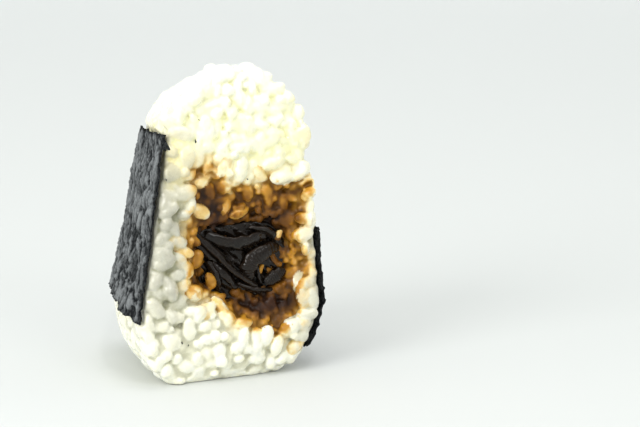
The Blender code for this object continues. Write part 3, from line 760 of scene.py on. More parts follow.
def core_form():
    """Rings of points over the smooth form of the rice, their outward directions, and where grains lie low.

    Each ring is the outside's superellipse and then the cut face back across. The first rings lie on the
    underside and shrink towards its middle. Near the edge of the cut the directions turn through the corner.
    """
    under, levels, round_steps, cut_steps = 22, 225, 250, 108
    z = np.maximum(height_steps(levels), 0.3 * MM)
    share, height = np.meshgrid(np.linspace(0, 1, round_steps), z)
    outside, normal = skin_frame(share, height)
    corner = 1 - climb(outside[..., 1:2], CUT_Y, 2.5 * MM)
    normal = unit(normal * (1 - 0.5 * corner) + np.array([0, -0.5, 0]) * corner)
    low, high = nori_edges(share)
    covered = np.clip(np.minimum(height - low, high - height) / (1.5 * MM) + 1.0, 0, 1)
    outside = beside_cut(outside)
    across = np.linspace(1, 0, cut_steps + 2)[1:-1]
    x = outside[:, :1, 0] + (outside[:, -1:, 0] - outside[:, :1, 0]) * across
    level = np.broadcast_to(height[:, :1], x.shape)
    face = np.stack([x, np.full(x.shape, CUT_Y), level], axis=-1)
    pocket = smooth_step(climb(filling_size(x, level), 1.06, -0.14))
    face[..., 1] += cut_depth(face) + 6.5 * MM * pocket
    beside = 1 - climb(inset(x, level), 0, MM)
    touched = beside * np.where(x < 0, covered[:, :1], covered[:, -1:])
    rings = np.concatenate([outside, face], axis=1)
    normals = np.concatenate([normal, cut_normals(x, level)], axis=1)
    covered = np.concatenate([covered, np.maximum(touched, pocket)], axis=1)
    inward = np.linspace(0.04, 0.96, under)[:, None, None]
    middle_point = rings[0].mean(axis=0)
    below = middle_point + (rings[:1] - middle_point) * inward
    rings = np.concatenate([below, rings])
    normals = np.concatenate([np.broadcast_to((0.0, 0.0, -1.0), below.shape), normals])
    covered = np.concatenate([np.zeros(below.shape[:2]), covered])
    return rings, normals, covered


def dome_share(z):
    """1 over the peak, where the grains are the finest, falling to 0 at the top of the stain."""
    return climb(z, 46 * MM, 10 * MM)


def pressed_share(x, z):
    """How smooth the rice is pressed: 1 on the peak, less at the left of the foot, and 0 at the stain."""
    foot = mound(x, z, (-9 * MM, 4 * MM), (13 * MM, 9 * MM), (4, 4))
    return np.maximum(dome_share(z), 0.75 * foot)


def whole_grain(rice):
    """Half sizes of a whole grain."""
    return np.array([rice.grain_length, rice.grain_width, rice.grain_thickness]) / 2


def grain_halves(count, sizes, rice, rng):
    """Half sizes of each grain, every one a little different."""
    return whole_grain(rice) * sizes[:, None] * (1 + 0.12 * rng.standard_normal((count, 3)).clip(-1.6, 1.6))


def bed_spots(rice, rng):
    """Places, outward directions and sizes of the grains that are pressed together into the rice's skin."""
    x, z = cut_spots(rice.bed_spacing, rng)
    keep = filling_size(x, z) > 1.10
    x, z = x[keep], z[keep]
    soaked = climb(inside_distance(x, z, SOAKED_OUTLINE), 0, 1.5)
    pressed = pressed_share(x, z)
    sink = 1.7 + 0.3 * rng.standard_normal(len(x)).clip(-1.5, 1.5) - 1.05 * pressed - 0.8 * soaked
    depth = cut_depth(np.stack([x, np.full(len(x), CUT_Y), z], axis=-1))
    on_cut = np.stack([x, CUT_Y + depth + sink * MM, z], axis=-1), cut_normals(x, z)
    cut_sizes = 0.97 - 0.3 * soaked - 0.27 * dome_share(z) + 0.2 * rng.random(len(x))
    share, z = outside_spots(rice.bed_spacing * 1.08, rng)
    points, normals = skin_frame(share, z)
    peak = climb(z, 70 * MM, 6 * MM)
    sunk = 0.8 + 0.35 * rng.standard_normal(len(z)).clip(-1.5, 1.5) + peak
    outside = beside_cut(points) - normals * (sunk * MM)[:, None], normals
    side_sizes = 0.92 + 0.2 * rng.random(len(z))
    x, y = foot_spots(rice.bed_spacing * 1.08, rng)
    downwards = np.broadcast_to((0.0, 0.0, -1.0), (len(x), 3))
    below = np.stack([x, y, np.full(len(x), 0.9 * MM)], axis=-1), downwards
    places, normals = (np.vstack(parts) for parts in zip(on_cut, outside, below))
    return places, normals, np.concatenate([cut_sizes, side_sizes, np.full(len(x), 0.95)])


def bed_heights(points, normals, places, frames, halves, floor):
    """How far the pressed grains rise from the smooth form along its directions.

    A grain is an ellipsoid, and a direction leaves it at the larger root of a quadratic. The grains and the
    floor between them are joined by a smooth maximum, log(sum(exp(k * height))) / k.
    """
    total = np.exp(BED_SHARPNESS * floor)
    for place, frame_of_grain, half in zip(places, frames, halves):
        near = np.flatnonzero(((points - place) ** 2).sum(axis=1) < (1.3 * half[0]) ** 2)
        start = (points[near] - place) @ frame_of_grain.T / half
        ahead = normals[near] @ frame_of_grain.T / half
        a = (ahead**2).sum(axis=1)
        b = (start * ahead).sum(axis=1)
        root = b * b - a * ((start**2).sum(axis=1) - 1)
        hit = root > 0
        total[near[hit]] += np.exp(BED_SHARPNESS * (np.sqrt(root[hit]) - b[hit]) / a[hit])
    return np.log(total) / BED_SHARPNESS


def pressed_rice(rice):
    """The pressed rice: its smooth form raised by the grains that are stuck together in its skin."""
    rng = np.random.default_rng(DRAWS["bed"])
    rings, normals, covered = core_form()
    shape = rings.shape
    points, normals, covered = rings.reshape(-1, 3), normals.reshape(-1, 3), covered.ravel()
    places, directions, sizes = bed_spots(rice, rng)
    frames = turned_frames(directions, rng, 0.25, 0.06)
    halves = grain_halves(len(places), sizes, rice, rng)
    pressed = pressed_share(points[:, 0], points[:, 2])
    floor = BED_FLOOR * (1 - 0.6 * pressed) * (1 - covered) - 0.3 * MM * covered
    height = bed_heights(points, normals, places, frames, halves, floor)
    most = np.where(covered > 0, 0.05 + 1.2 * (1 - covered), 1.3) * MM
    points = points + normals * np.minimum(height, most)[:, None]
    points[:, 2] = np.maximum(points[:, 2], 0.05 * MM)
    foot, peak = points[: shape[1]].mean(axis=0), points[-shape[1] :].mean(axis=0)
    return np.vstack([points, foot, peak]), *tube_faces(shape[0], shape[1])


def grain_form(rings, sides):
    """A grain about the origin with unit half sizes, as rings of points between two poles.

    Along it u runs from -1 to 1 and the radius is (1 - |u|^2.4)^0.5, a little fuller towards one end.
    """
    u = -np.cos(math.pi * (np.arange(rings) + 1) / (rings + 1))
    turn = 2 * math.pi * (np.arange(sides)[None, :] + 0.5 * (np.arange(rings)[:, None] % 2)) / sides
    radius = (np.sqrt(1 - np.abs(u) ** 2.4) * (1 + 0.10 * u))[:, None]
    along = np.broadcast_to(u[:, None], turn.shape)
    ring = np.stack([along, radius * np.cos(turn), radius * np.sin(turn)], axis=-1)
    return np.vstack([ring.reshape(-1, 3), (-1, 0, 0), (1, 0, 0)])


def turned_frames(normal, rng, most_tilt, end_on, turn=None):
    """Length, width and upward directions of grains on a surface, turned at random and tilted out of it."""
    helper = np.where(np.abs(normal[:, 2:]) < 0.9, (0.0, 0.0, 1.0), (1.0, 0.0, 0.0))
    side = unit(np.cross(normal, helper))
    other = np.cross(normal, side)
    turn = (2 * math.pi * rng.random(len(normal)) if turn is None else turn)[:, None]
    tilt = np.clip(most_tilt * rng.standard_normal(len(normal)), -1.2, 1.2)
    tilt = np.where(rng.random(len(normal)) < end_on, 1.1 + 0.3 * rng.random(len(normal)), tilt)[:, None]
    flat = np.cos(turn) * side + np.sin(turn) * other
    along = np.cos(tilt) * flat + np.sin(tilt) * normal
    across = unit(np.cross(normal, along))
    return np.stack([along, across, np.cross(along, across)], axis=1)


def grains(places, frames, sizes, rice, rng, rings=5, sides=9):
    """Points and faces of many grains, worked out as one array of grains by points.

    Each grain's own half sizes, bend and swelling shape the unit form, which is then set along its frame.
    """
    form = grain_form(rings, sides)
    count = len(places)
    half = grain_halves(count, sizes, rice, rng)
    local = form[None] * half[:, None]
    bend = 0.24 * rng.standard_normal(count)[:, None] * half[:, 2:]
    local[..., 2] += bend * (form[None, :, 0] ** 2 - 0.4)
    local[..., 1] += 0.5 * bend * (form[None, :, 0] ** 2 - 0.4)
    points = np.einsum("gpk,gkc->gpc", local, frames) + places[:, None]
    points += 0.2 * MM * np.stack([soft_noise(points, 1.9 * MM, 31 + k) for k in range(3)], axis=-1)
    points[..., 2] = np.maximum(points[..., 2], 0.05 * MM)
    return points.reshape(-1, 3), *many_tubes(count, rings, sides)


def shaken_lattice(x, other, spacing, shake, rng):
    """Spots of a lattice with every second row moved half a step along X, each shaken about its place."""
    x, other = np.meshgrid(x, other)
    x = x + spacing / 2 * (np.arange(len(x)) % 2)[:, None]
    x = (x + shake * spacing * rng.standard_normal(x.shape)).ravel()
    return x, (other + shake * spacing * rng.standard_normal(other.shape)).ravel()


def cut_spots(spacing, rng):
    """Spots (x, z) over the cut face, in rows of a triangular lattice."""
    rows = np.arange(0.8 * MM, RICE_HEIGHT, spacing * ROW_STEP)
    x, z = shaken_lattice(np.arange(-27 * MM, 28 * MM, spacing), rows, spacing, 0.32, rng)
    z = np.clip(z, 0.6 * MM, RICE_HEIGHT - 0.8 * MM)
    keep = np.abs(x - middle(z)) < half_thickness(z) - 0.5 * MM
    return x[keep], z[keep]


def cut_normals(x, z):
    """Outward directions on the cut face: straight out, and turned outwards where the face rounds over."""
    edge = ((x - middle(z)) / (half_thickness(z) + MM)).clip(-1, 1)
    top = climb(z, 58 * MM, 20 * MM)
    foot = climb(z, 6 * MM, -6 * MM)
    return unit(np.stack([0.9 * edge**5, -np.ones(x.shape), 0.6 * top - 0.4 * foot], axis=-1))


def beside_nori(x, z, margin):
    """True where a spot on the cut face lies closer than the margin to the nori along one of its sides."""
    low, high = np.where(x < 0, np.array(NORI_LEFT_EDGES)[:, None], np.array(NORI_RIGHT_EDGES)[:, None])
    return (z > low - 1.5 * MM) & (z < high + 1.0 * MM) & (inset(x, z) < margin)


def band_shift(points):
    """How far along X each grain moves back so that no point of it reaches past the nori's inner side."""
    z = points[..., 2]
    x = points[..., 0] - middle(z)
    low = np.where(x < 0, NORI_LEFT_EDGES[0], NORI_RIGHT_EDGES[0])
    high = np.where(x < 0, NORI_LEFT_EDGES[1], NORI_RIGHT_EDGES[1])
    over = np.abs(x) - half_thickness(z) - 0.1 * MM
    over = np.where((z > low - MM) & (z < high + MM), over, 0).clip(0, None).max(axis=1)
    return -np.sign(x.mean(axis=1)) * over


def on_the_cut(x, z, out):
    """Points over the cut face that stand out of its relief by this much."""
    points = np.stack([x, np.full(len(x), CUT_Y), z], axis=-1)
    points[:, 1] += cut_depth(points) - out
    return points


def cut_grains(rice):
    """Free grains over the cut face: few where it is soaked, and finer and flatter on the peak."""
    rng = np.random.default_rng(DRAWS["cut"])
    x, z = cut_spots(rice.free_spacing, rng)
    soaked = inside_distance(x, z, SOAKED_OUTLINE) > -0.8
    chance = np.where(soaked, 0.04, 1.0)
    keep = (filling_size(x, z) > 1.12) & ~beside_nori(x, z, 0.9 * MM) & (rng.random(len(x)) < chance)
    x, z = x[keep], z[keep]
    pressed = pressed_share(x, z)
    out = 0.15 + (0.6 - 0.25 * pressed) * rng.standard_normal(len(x)).clip(-1.5, 1.5) - 0.8 * pressed
    places = on_the_cut(x, z, out * MM)
    normals = cut_normals(x, z)
    frames = turned_frames(normals, rng, 0.25 + 0.2 * pressed, 0.05)
    sizes = (1.0 - 0.27 * dome_share(z)) * (0.84 + 0.26 * rng.random(len(x)))
    points, quads, fans = grains(places, frames, sizes, rice, rng)
    points = points.reshape(len(places), -1, 3)
    points[..., 0] += band_shift(points)[:, None]
    return points.reshape(-1, 3), quads, fans


def lone_grains(rice):
    """The grains that can be told one by one, each with its own place, turn, length and soy."""
    rng = np.random.default_rng(DRAWS["lone"])
    x, z, out, turn, size, soy = np.array(LONE_GRAINS).T
    places = on_the_cut(x * MM, z * MM, (out - 0.35) * MM)
    normals = np.broadcast_to((0.0, -1.0, 0.0), places.shape)
    frames = turned_frames(normals, rng, 0.15, 0.0, np.radians(turn))
    points, quads, fans = grains(places, frames, size, rice, rng, rings=7, sides=12)
    points = points.reshape(len(places), -1, 3)
    shift = band_shift(points)
    points[..., 0] += shift[:, None]
    places[:, 0] += shift
    return (points.reshape(-1, 3), quads, fans), (places, frames, size, soy)


def outside_spots(spacing, rng):
    """Spots (share, z) over the outside in rows a spacing apart up its slope, left out under the nori."""
    rows = height_steps(int(SLOPE_LENGTH / (spacing * ROW_STEP)) + 1)[1:]
    spots = []
    for i, row in enumerate(rows):
        outline = skin_point(np.linspace(0, 1, 60), row)
        length = np.linalg.norm(np.diff(outline, axis=0), axis=1).sum()
        count = max(2, int(length / spacing))
        share = (np.arange(count) + 0.5 * (i % 2) + 0.3 * rng.standard_normal(count)) / count
        spots.append(np.stack([share, row + 0.3 * spacing * rng.standard_normal(count)], axis=-1))
    share, z = np.vstack(spots).T
    z = np.clip(z, 0.8 * MM, RICE_HEIGHT - 0.3 * MM)
    low, high = nori_edges(np.clip(share, 0, 1))
    keep = (share > 0.0) & (share < 1.0) & ((z < low + 0.6 * MM) | (z > high - 0.8 * MM))
    return share[keep], z[keep]


def foot_spots(spacing, rng):
    """Spots (x, y) over the underside, inside the outline of the foot."""
    rows = np.arange(CUT_Y, 34 * MM, spacing)
    x, y = shaken_lattice(np.arange(-24 * MM, 24 * MM, spacing), rows, spacing, 0.25, rng)
    low = 0.4 * MM
    across, back = (x - middle(low)) / half_thickness(low), (y - CUT_Y) / reach(low)
    size = np.abs(across) ** SQUARENESS_AT_FOOT + np.abs(back) ** SQUARENESS_AT_FOOT
    keep = (size < 0.97) & (y > CUT_Y + MM)
    return x[keep], y[keep]


def side_grains(rice):
    """Free grains over the broad sides, the slanted back and the peak, where the nori leaves them bare."""
    rng = np.random.default_rng(DRAWS["sides"])
    share, z = outside_spots(rice.free_spacing * 1.05, rng)
    points, normals = skin_frame(share, z)
    low, high = nori_edges(share)
    tucked = 1 - climb(np.minimum(np.abs(z - low), np.abs(z - high)), 0, 4 * MM)
    peak = climb(z, 66 * MM, 8 * MM)
    sunk = 0.45 + 0.5 * rng.random(len(z)) + 1.3 * tucked + 1.5 * peak
    places = beside_cut(points) - normals * (sunk * MM)[:, None]
    frames = turned_frames(normals, rng, 0.20, 0.02)
    return grains(places, frames, 0.86 + 0.26 * rng.random(len(z)), rice, rng)


def mash_crumbs(rice):
    """Soaked crumbs round the kelp and lapping over it: grains broken to a third or more of a whole one."""
    rng = np.random.default_rng(DRAWS["crumbs"])
    x, z = cut_spots(1.5 * MM, rng)
    size = filling_size(x, z)
    soaked = inside_distance(x, z, SOAKED_OUTLINE)
    by_kelp = inside_distance(x, z, KELP_OUTLINE)
    keep = (soaked > -0.6) & (by_kelp < 0.2) & (rng.random(len(x)) < np.where(size < 1.1, 1.0, 0.55))
    x, z, size = x[keep], z[keep], size[keep]
    over = climb(size, 1.12, -0.12)
    out = -0.3 - 1.0 * rng.random(len(x)) - over * (1.3 + 0.8 * rng.random(len(x)))
    places = on_the_cut(x, z, out * MM)
    normals = cut_normals(x, z)
    frames = turned_frames(normals, rng, 0.6, 0.2)
    sizes = 0.34 + 0.36 * rng.random(len(x)) ** 1.5 + 0.12 * over
    return grains(places, frames, sizes, rice, rng)


def modified(mesh, kind, **settings):
    """A new mesh with one modifier applied."""
    piece = bpy.data.objects.new("in work", mesh)
    bpy.context.scene.collection.objects.link(piece)
    modifier = piece.modifiers.new("work", kind)
    for key, value in settings.items():
        setattr(modifier, key, value)
    made = bpy.data.meshes.new_from_object(piece.evaluated_get(bpy.context.evaluated_depsgraph_get()))
    bpy.data.objects.remove(piece)
    bpy.data.meshes.remove(mesh)
    return made


def fused(parts, voxel):
    """One closed skin round overlapping closed parts, remade on a grid and thinned where it is flat."""
    points, faces, start = [], [], 0
    for part_points, quads, fans in parts:
        points += part_points.tolist()
        faces += (quads + start).tolist() + (fans + start).tolist()
        start += len(part_points)
    mesh = bpy.data.meshes.new("overlapping rice")
    mesh.from_pydata(points, [], faces)
    mesh = modified(mesh, "REMESH", mode="VOXEL", voxel_size=voxel)
    return modified(mesh, "DECIMATE", ratio=min(1.0, MOST_TRIANGLES / (2 * len(mesh.polygons))))


def rise(mesh, points, rounds):
    """How far each point stands out of its surroundings: its distance to the mesh after relaxing it."""
    edges = np.empty(2 * len(mesh.edges), np.int32)
    mesh.edges.foreach_get("vertices", edges)
    normals = np.empty(points.size)
    mesh.vertex_normals.foreach_get("vector", normals)
    one, other = edges.reshape(-1, 2).T
    count = len(points)
    neighbours = np.bincount(one, minlength=count) + np.bincount(other, minlength=count)
    relaxed = points
    for _ in range(rounds):
        total = [
            np.bincount(one, relaxed[other, k], count) + np.bincount(other, relaxed[one, k], count)
            for k in range(3)
        ]
        relaxed = np.stack(total, axis=-1) / neighbours[:, None]
    return ((points - relaxed) * normals.reshape(-1, 3)).sum(axis=1)


def sticky_rice(rice):
    """The rice as it sticks together: pressed rice, free grains and crumbs in one skin, with its colours."""
    lone, (places, frames, sizes, soy) = lone_grains(rice)
    parts = [pressed_rice(rice), cut_grains(rice), side_grains(rice), mash_crumbs(rice), lone]
    mesh = fused(parts, rice.detail)
    points = np.empty(3 * len(mesh.vertices))
    mesh.vertices.foreach_get("co", points)
    points = points.reshape(-1, 3)
    points[:, 2] = np.maximum(points[:, 2], 0.02 * MM)
    mesh.vertices.foreach_set("co", points.ravel())
    strength = soy_strength(points)
    for place, frame_of_grain, size, own in zip(places, frames, sizes, soy):
        half = whole_grain(rice) * size * 1.08
        inside = (((points - place) @ frame_of_grain.T / half) ** 2).sum(axis=1) < 1
        strength[inside] = own
    # Hollows between the grains: the tint paints shade into them, less where the rice is pressed, and the
    # soy grows a little stronger in them
    height = rise(mesh, points, HOLLOW_ROUNDS) / (0.45 * MM)
    hollow = np.clip(0.4 - 1.15 * height, 0, 1)
    mottled = 0.11 * soft_noise(points, 0.9 * MM, 16) + 0.08 * soft_noise(points, 2.2 * MM, 17)
    strength = strength + (0.16 * hollow + mottled) * climb(strength, 0, 0.15)
    tint = rice_tint(points, hollow, rice, np.clip(strength, 0, 1))
    tint = tint * (1 + 0.10 * pressed_share(points[:, 0], points[:, 2]) * hollow)[:, None]
    tint *= 1 - 0.10 * np.clip(height - 0.5, 0, 1)[:, None]
    stored = mesh.color_attributes.new("tint", "FLOAT_COLOR", "POINT")
    stored.data.foreach_set("color", np.hstack([tint, np.ones((len(tint), 1))]).astype(np.float32).ravel())
    return finish_piece("rice_core", mesh, rice_look())


def filling_ring(turn, size):
    """(x, z) round the filling at this size: a superellipse whose radius has low lumps."""
    lumps, power = filling_lumps(turn), 2 / FILLING_POWER
    x = FILLING_HALF_SIZE[0] * lumps * size * signed_power(np.cos(turn), power)
    z = FILLING_HALF_SIZE[1] * lumps * size * signed_power(np.sin(turn), power)
    return FILLING_CENTRE[0] + x, FILLING_CENTRE[1] + z


def kelp_bundle(kelp):
    """The kelp that runs back into the rice: rings from its middle in front, over its rim and to its end.

    The front is creased by noise stretched along the strips, which run down to the right.
    """
    turn = np.linspace(0, 2 * math.pi, BUNDLE_SIDES, endpoint=False)
    front = np.linspace(0.03, 0.95, 34)
    size = np.concatenate([front, (0.985, 0.985, 0.97, 0.94, 0.88, 0.8, 0.72, 0.5)])
    behind = (4.6, 6.0, 9.0, 13.0, 17.0, 20.5, 23.0, 23.6)
    depth = np.concatenate([np.full(len(front), kelp.recess / MM), behind])
    x, z = filling_ring(turn, size[:, None])
    y = np.broadcast_to(CUT_Y + depth[:, None] * MM, x.shape).copy()
    run, over = (x - z) / 5.0, (x + z) / 1.3
    crease = soft_noise(np.stack([run, over, np.zeros(x.shape)], axis=-1), MM, 51)
    fine = soft_noise(np.stack([run, over * 2.2, np.zeros(x.shape)], axis=-1), MM, 52)
    on_front = (size < 0.96)[:, None] * climb(size, 0.97, -0.1)[:, None]
    y += on_front * (0.9 * crease + 0.35 * fine) * MM
    rings = np.stack([x, y, z], axis=-1)
    points = np.vstack([rings.reshape(-1, 3), rings[0].mean(axis=0), rings[-1].mean(axis=0)])
    quads, fans = tube_faces(*x.shape)
    thin = np.clip(np.append(crease.ravel(), (0, 0)) * 0.5, 0, 1)
    return add_piece("kelp_bundle", points, quads, fans, kelp_look(kelp), {"thin": thin})


def curve_through(points, count):
    """Even steps along a smooth curve through a few points, by the Catmull-Rom formula."""
    points = np.array(points, float)
    padded = np.vstack([2 * points[0] - points[1], points, 2 * points[-1] - points[-2]])
    t = np.linspace(0, len(points) - 1, count)
    i = np.minimum(t.astype(int), len(points) - 2)
    f = (t - i)[:, None]
    a, b, c, d = (padded[i + k] for k in range(4))
    return 0.5 * (2 * b + (c - a) * f + (2 * a - 5 * b + 4 * c - d) * f**2 + (3 * b - a - 3 * c + d) * f**3)


def kelp_strip(points, width, turned, ribs, thickness, seed):
    """Rings of one flat strip along its curve.

    Across it is a flat ribbon with round edges, (|cos|^0.5, |sin|^0.6), cupped a little. The width swells
    from 0.4 at the ends to 1. Ribs are cosine ridges from end to end, and the edges wander by noise.
    """
    spine = curve_through(points, STRIP_STEPS) * MM + (0, CUT_Y, 0)
    ahead = unit(np.gradient(spine, axis=0))
    side = unit(np.cross(ahead, (0.0, -1.0, 0.0)))
    face = np.cross(ahead, side)
    angle = math.radians(turned) + 0.25 * np.sin(np.linspace(0, math.pi, STRIP_STEPS) + seed)[:, None]
    side, face = np.cos(angle) * side + np.sin(angle) * face, np.cos(angle) * face - np.sin(angle) * side
    share = np.linspace(0, 1, STRIP_STEPS)[:, None]
    turn = np.linspace(0, 2 * math.pi, STRIP_SIDES, endpoint=False)[None]
    swell = 0.4 + 0.6 * np.sin(math.pi * share) ** 0.4
    wide = signed_power(np.cos(turn), 0.5)
    thick = signed_power(np.sin(turn), 0.6)
    along_edge = np.stack(np.broadcast_arrays(share * 9, np.sign(wide), 0.0 * turn), axis=-1)
    wander = 1 + 0.16 * soft_noise(along_edge, 1.0, seed)
    ridge = 0.5 + 0.5 * np.cos(2 * math.pi * ribs * share) if ribs else 0.0 * share
    across = width * MM / 2 * swell * wide * wander
    lift = thickness / 2 * thick * (0.6 + 0.4 * swell) + 0.10 * width * MM * wide**2
    lift = lift + 0.11 * MM * ridge * np.sign(thick) * (1 - np.abs(wide) ** 3)
    rings = spine[:, None] + side[:, None] * across[..., None] + face[:, None] * lift[..., None]
    rings = rings + 0.14 * MM * soft_noise(rings, 1.2 * MM, 60 + seed)[..., None] * face[:, None]
    return rings, np.abs(wide) + 0 * share


def kelp_strips(kelp):
    """The strips that show on the front of the filling, as one piece."""
    points, thin = [], []
    for seed, (curve, width, turned, ribs) in enumerate(KELP_STRIPS):
        rings, edge = kelp_strip(curve, width, turned, ribs, kelp.strip_thickness, seed)
        points += [rings.reshape(-1, 3), rings[:1].mean(axis=1), rings[-1:].mean(axis=1)]
        thin += [np.clip(edge.ravel() ** 4, 0, 1) * 0.7 + (0.35 if ribs else 0), np.full(2, 0.5)]
    points, values = np.vstack(points), {"thin": np.concatenate(thin)}
    quads, fans = many_tubes(len(KELP_STRIPS), STRIP_STEPS, STRIP_SIDES)
    return add_piece("kelp_strips", points, quads, fans, kelp_look(kelp), values)


def ridged(points, size, seed):
    """Net of ridges from 0 to 1: one less the size of smooth noise, which peaks where the noise is 0."""
    return 1 - np.abs(soft_noise(points, size, seed))


def nori_crinkles(share, z):
    """Net of crinkles from 0 to 1, warped by noise and a little longer upwards than across.

    There are wide ones, half as wide ones, and fine ones.
    """
    net = np.stack([share * NORI_RUN, z / CRINKLE_SHAPE, 0 * z], axis=-1)
    sway = [soft_noise(net, 2.6 * MM, seed) for seed in (77, 78)]
    warp = 1.5 * MM * np.stack([*sway, 0 * z], axis=-1)
    ridge = 0.5 * ridged(net + warp, 1.9 * MM, 79) + 0.35 * ridged(net + warp, 1.0 * MM, 80)
    ridge = ridge + 0.15 * ridged(net + 0.5 * warp, 0.7 * MM, 83)
    return climb(ridge, 0.4, 0.6) ** 1.5


def nori_rags(flat, seed):
    """How far one edge of the nori strays from its line, in mm."""
    return sum(size * soft_noise(flat, wave * MM, seed + k) for k, (size, wave) in enumerate(NORI_RAGS))


def double_faces(rows, columns):
    """Faces of two skins of one grid, joined along all four edges."""
    face = grid_faces(rows, columns, False)
    index = np.arange(rows * columns).reshape(rows, columns)
    rim = np.concatenate([index[:, 0], index[-1, 1:], index[-2::-1, -1], index[0, -2:0:-1]])
    after = np.roll(rim, -1)
    shift = rows * columns
    sides = np.stack([rim, after, after + shift, rim + shift], axis=-1)
    return np.vstack([face[:, ::-1], face + shift, sides])


def nori_band(nori):
    """The band as two skins of one grid, joined along all four edges.

    The grid runs round by share and up by the height between the nori's edges. It follows the rice's
    outside, pushed out along the normal by slow waves, by a flare of both edges and by crinkles. Both edges
    are ragged by noise.
    """
    around, upwards = (np.linspace(0, 1, count) for count in NORI_GRID)
    share, up = np.meshgrid(around, upwards, indexing="ij")
    low, high = nori_edges(share)
    flat = np.stack([share * NORI_RUN, up * 0, 0 * up], axis=-1)
    rag, other = nori_rags(flat, 71), nori_rags(flat, 74)
    edge = np.clip(np.abs(2 * up - 1) * 4 - 3, 0, 1) ** 2
    z = low + (high - low) * up + np.where(up < 0.5, rag, other) * MM * edge
    base, normal = skin_frame(share, z)
    base = beside_cut(base)
    ridge = nori_crinkles(share, z)
    slow = 0.5 + 0.5 * soft_noise(base, 4.5 * MM, 81)
    flare = NORI_FLARE * (2 * up - 1) ** 2 * (1.5 - up) * np.clip(1 - share / 0.7, 0, None)
    flare = flare * np.clip(share / 0.07, 0.1, 1)
    push = nori.gap * 0.6 + 0.75 * MM * slow + flare
    cut_edge = np.exp(-((np.minimum(share, 1 - share) / 0.01) ** 2))
    jag = 0.35 * MM * soft_noise(np.stack([0 * z, 0 * z, z], axis=-1), 1.6 * MM, 82) * cut_edge
    front = NORI_OVERHANG * (1 - climb(np.minimum(share, 1 - share), 0, 0.01))
    skins = []
    for offset in (push + nori.wrinkle * ridge, push + nori.wrinkle * ridge + nori.thickness):
        skin = base + normal * offset[..., None]
        skin[..., 1] -= front + jag
        skins.append(skin.reshape(-1, 3))
    points, quads = np.vstack(skins), double_faces(*share.shape)
    none = np.empty((0, 3), int)
    # Painted sheen on the crinkles' ridges and painted shade in their valleys, faint on the inner skin
    dull, bright = np.percentile(ridge, (20, 97))
    border = np.minimum(np.minimum(share, 1 - share) / 0.007, np.minimum(up, 1 - up) / 0.02)
    painted_sheen = climb(ridge, dull, bright - dull) * np.clip(border, 0, 1)
    values = {"ridge": np.concatenate([painted_sheen.ravel() * 0.3, painted_sheen.ravel()])}
    return add_piece("nori_sheet", points, quads, none, nori_look(nori), values)


def nori_flecks(nori):
    """Loose flecks on the rice: flat little tubes along X, each turned by its own angle in the cut face."""
    rng = np.random.default_rng(DRAWS["flecks"])
    form = grain_form(3, 6)
    x, z, length = np.array(NORI_FLECKS).T * MM
    half = np.stack([length / 2, length * 0.22, np.full(len(x), 0.12 * MM)], axis=-1)
    turn = np.where(length > 3 * MM, 1.9, math.pi * rng.random(len(x)))
    along = np.stack([np.cos(turn), np.zeros(len(x)), np.sin(turn)], axis=-1)
    face = np.broadcast_to((0.0, -1.0, 0.0), along.shape)
    across = np.cross(face, along)
    local = form[None] * half[:, None] * (1 + 0.25 * rng.standard_normal((len(x), len(form), 1)))
    places = np.stack([x, CUT_Y + cut_relief(x, z) - 1.15 * MM, z], axis=-1)
    axes = np.stack([along, across, face], axis=1)
    points = (np.einsum("gpk,gkc->gpc", local, axes) + places[:, None]).reshape(-1, 3)
    quads, fans = many_tubes(len(x), 3, 6)
    values = {"ridge": np.full(len(points), 0.1)}
    return add_piece("nori_flecks", points, quads, fans, nori_look(nori), values)


class ONIGIRI_OT_rice(bpy.types.Operator):
    """Make the pressed rice and its grains"""

    bl_idname = "onigiri.rice"
    bl_label = "Rice"

    def execute(self, context):
        rice = context.scene.onigiri_rice
        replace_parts(sticky_rice(rice), "rice")
        return {"FINISHED"}


class ONIGIRI_OT_kelp(bpy.types.Operator):
    """Make the simmered kelp in the middle"""

    bl_idname = "onigiri.kelp"
    bl_label = "Kelp"

    def execute(self, context):
        kelp = context.scene.onigiri_kelp
        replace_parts(kelp_bundle(kelp), "kombu_filling")
        kelp_strips(kelp)
        return {"FINISHED"}


class ONIGIRI_OT_nori(bpy.types.Operator):
    """Make the nori band and the loose flecks"""

    bl_idname = "onigiri.nori"
    bl_label = "Nori"

    def execute(self, context):
        nori = context.scene.onigiri_nori
        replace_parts(nori_band(nori), "nori_band")
        nori_flecks(nori)
        return {"FINISHED"}


def camera_axes():
    """Right, up and backward directions of the camera, from its turn and rise."""
    sin_turn, cos_turn = math.sin(VIEW_TURN), math.cos(VIEW_TURN)
    sin_rise, cos_rise = math.sin(VIEW_RISE), math.cos(VIEW_RISE)
    right = np.array([cos_turn, sin_turn, 0.0])
    up = np.array([-sin_turn * sin_rise, cos_turn * sin_rise, cos_rise])
    back = np.array([sin_turn * cos_rise, -cos_turn * cos_rise, sin_rise])
    return right, up, back


def add_camera(scene):
    right, up, back = camera_axes()
    half_width, half_height = IMAGE_SIZE[0] / 2, IMAGE_SIZE[1] / 2
    target = np.array([0.0, CUT_Y, 0.0])
    target = target + right * (half_width - FOOT_PIXEL[0]) / PIXELS_PER_METRE
    target = target + up * (FOOT_PIXEL[1] - half_height) / PIXELS_PER_METRE
    camera = bpy.data.objects.new("camera", bpy.data.cameras.new("camera"))
    camera.data.sensor_width = SENSOR_WIDTH
    camera.data.lens = PIXELS_PER_METRE * SENSOR_WIDTH * VIEW_DISTANCE / IMAGE_SIZE[0]
    camera.data.clip_start = 0.01
    axes = Matrix((right, up, back)).transposed().to_4x4()
    axes.translation = target + back * VIEW_DISTANCE
    camera.matrix_world = axes
    scene.collection.objects.link(camera)
    scene.camera = camera


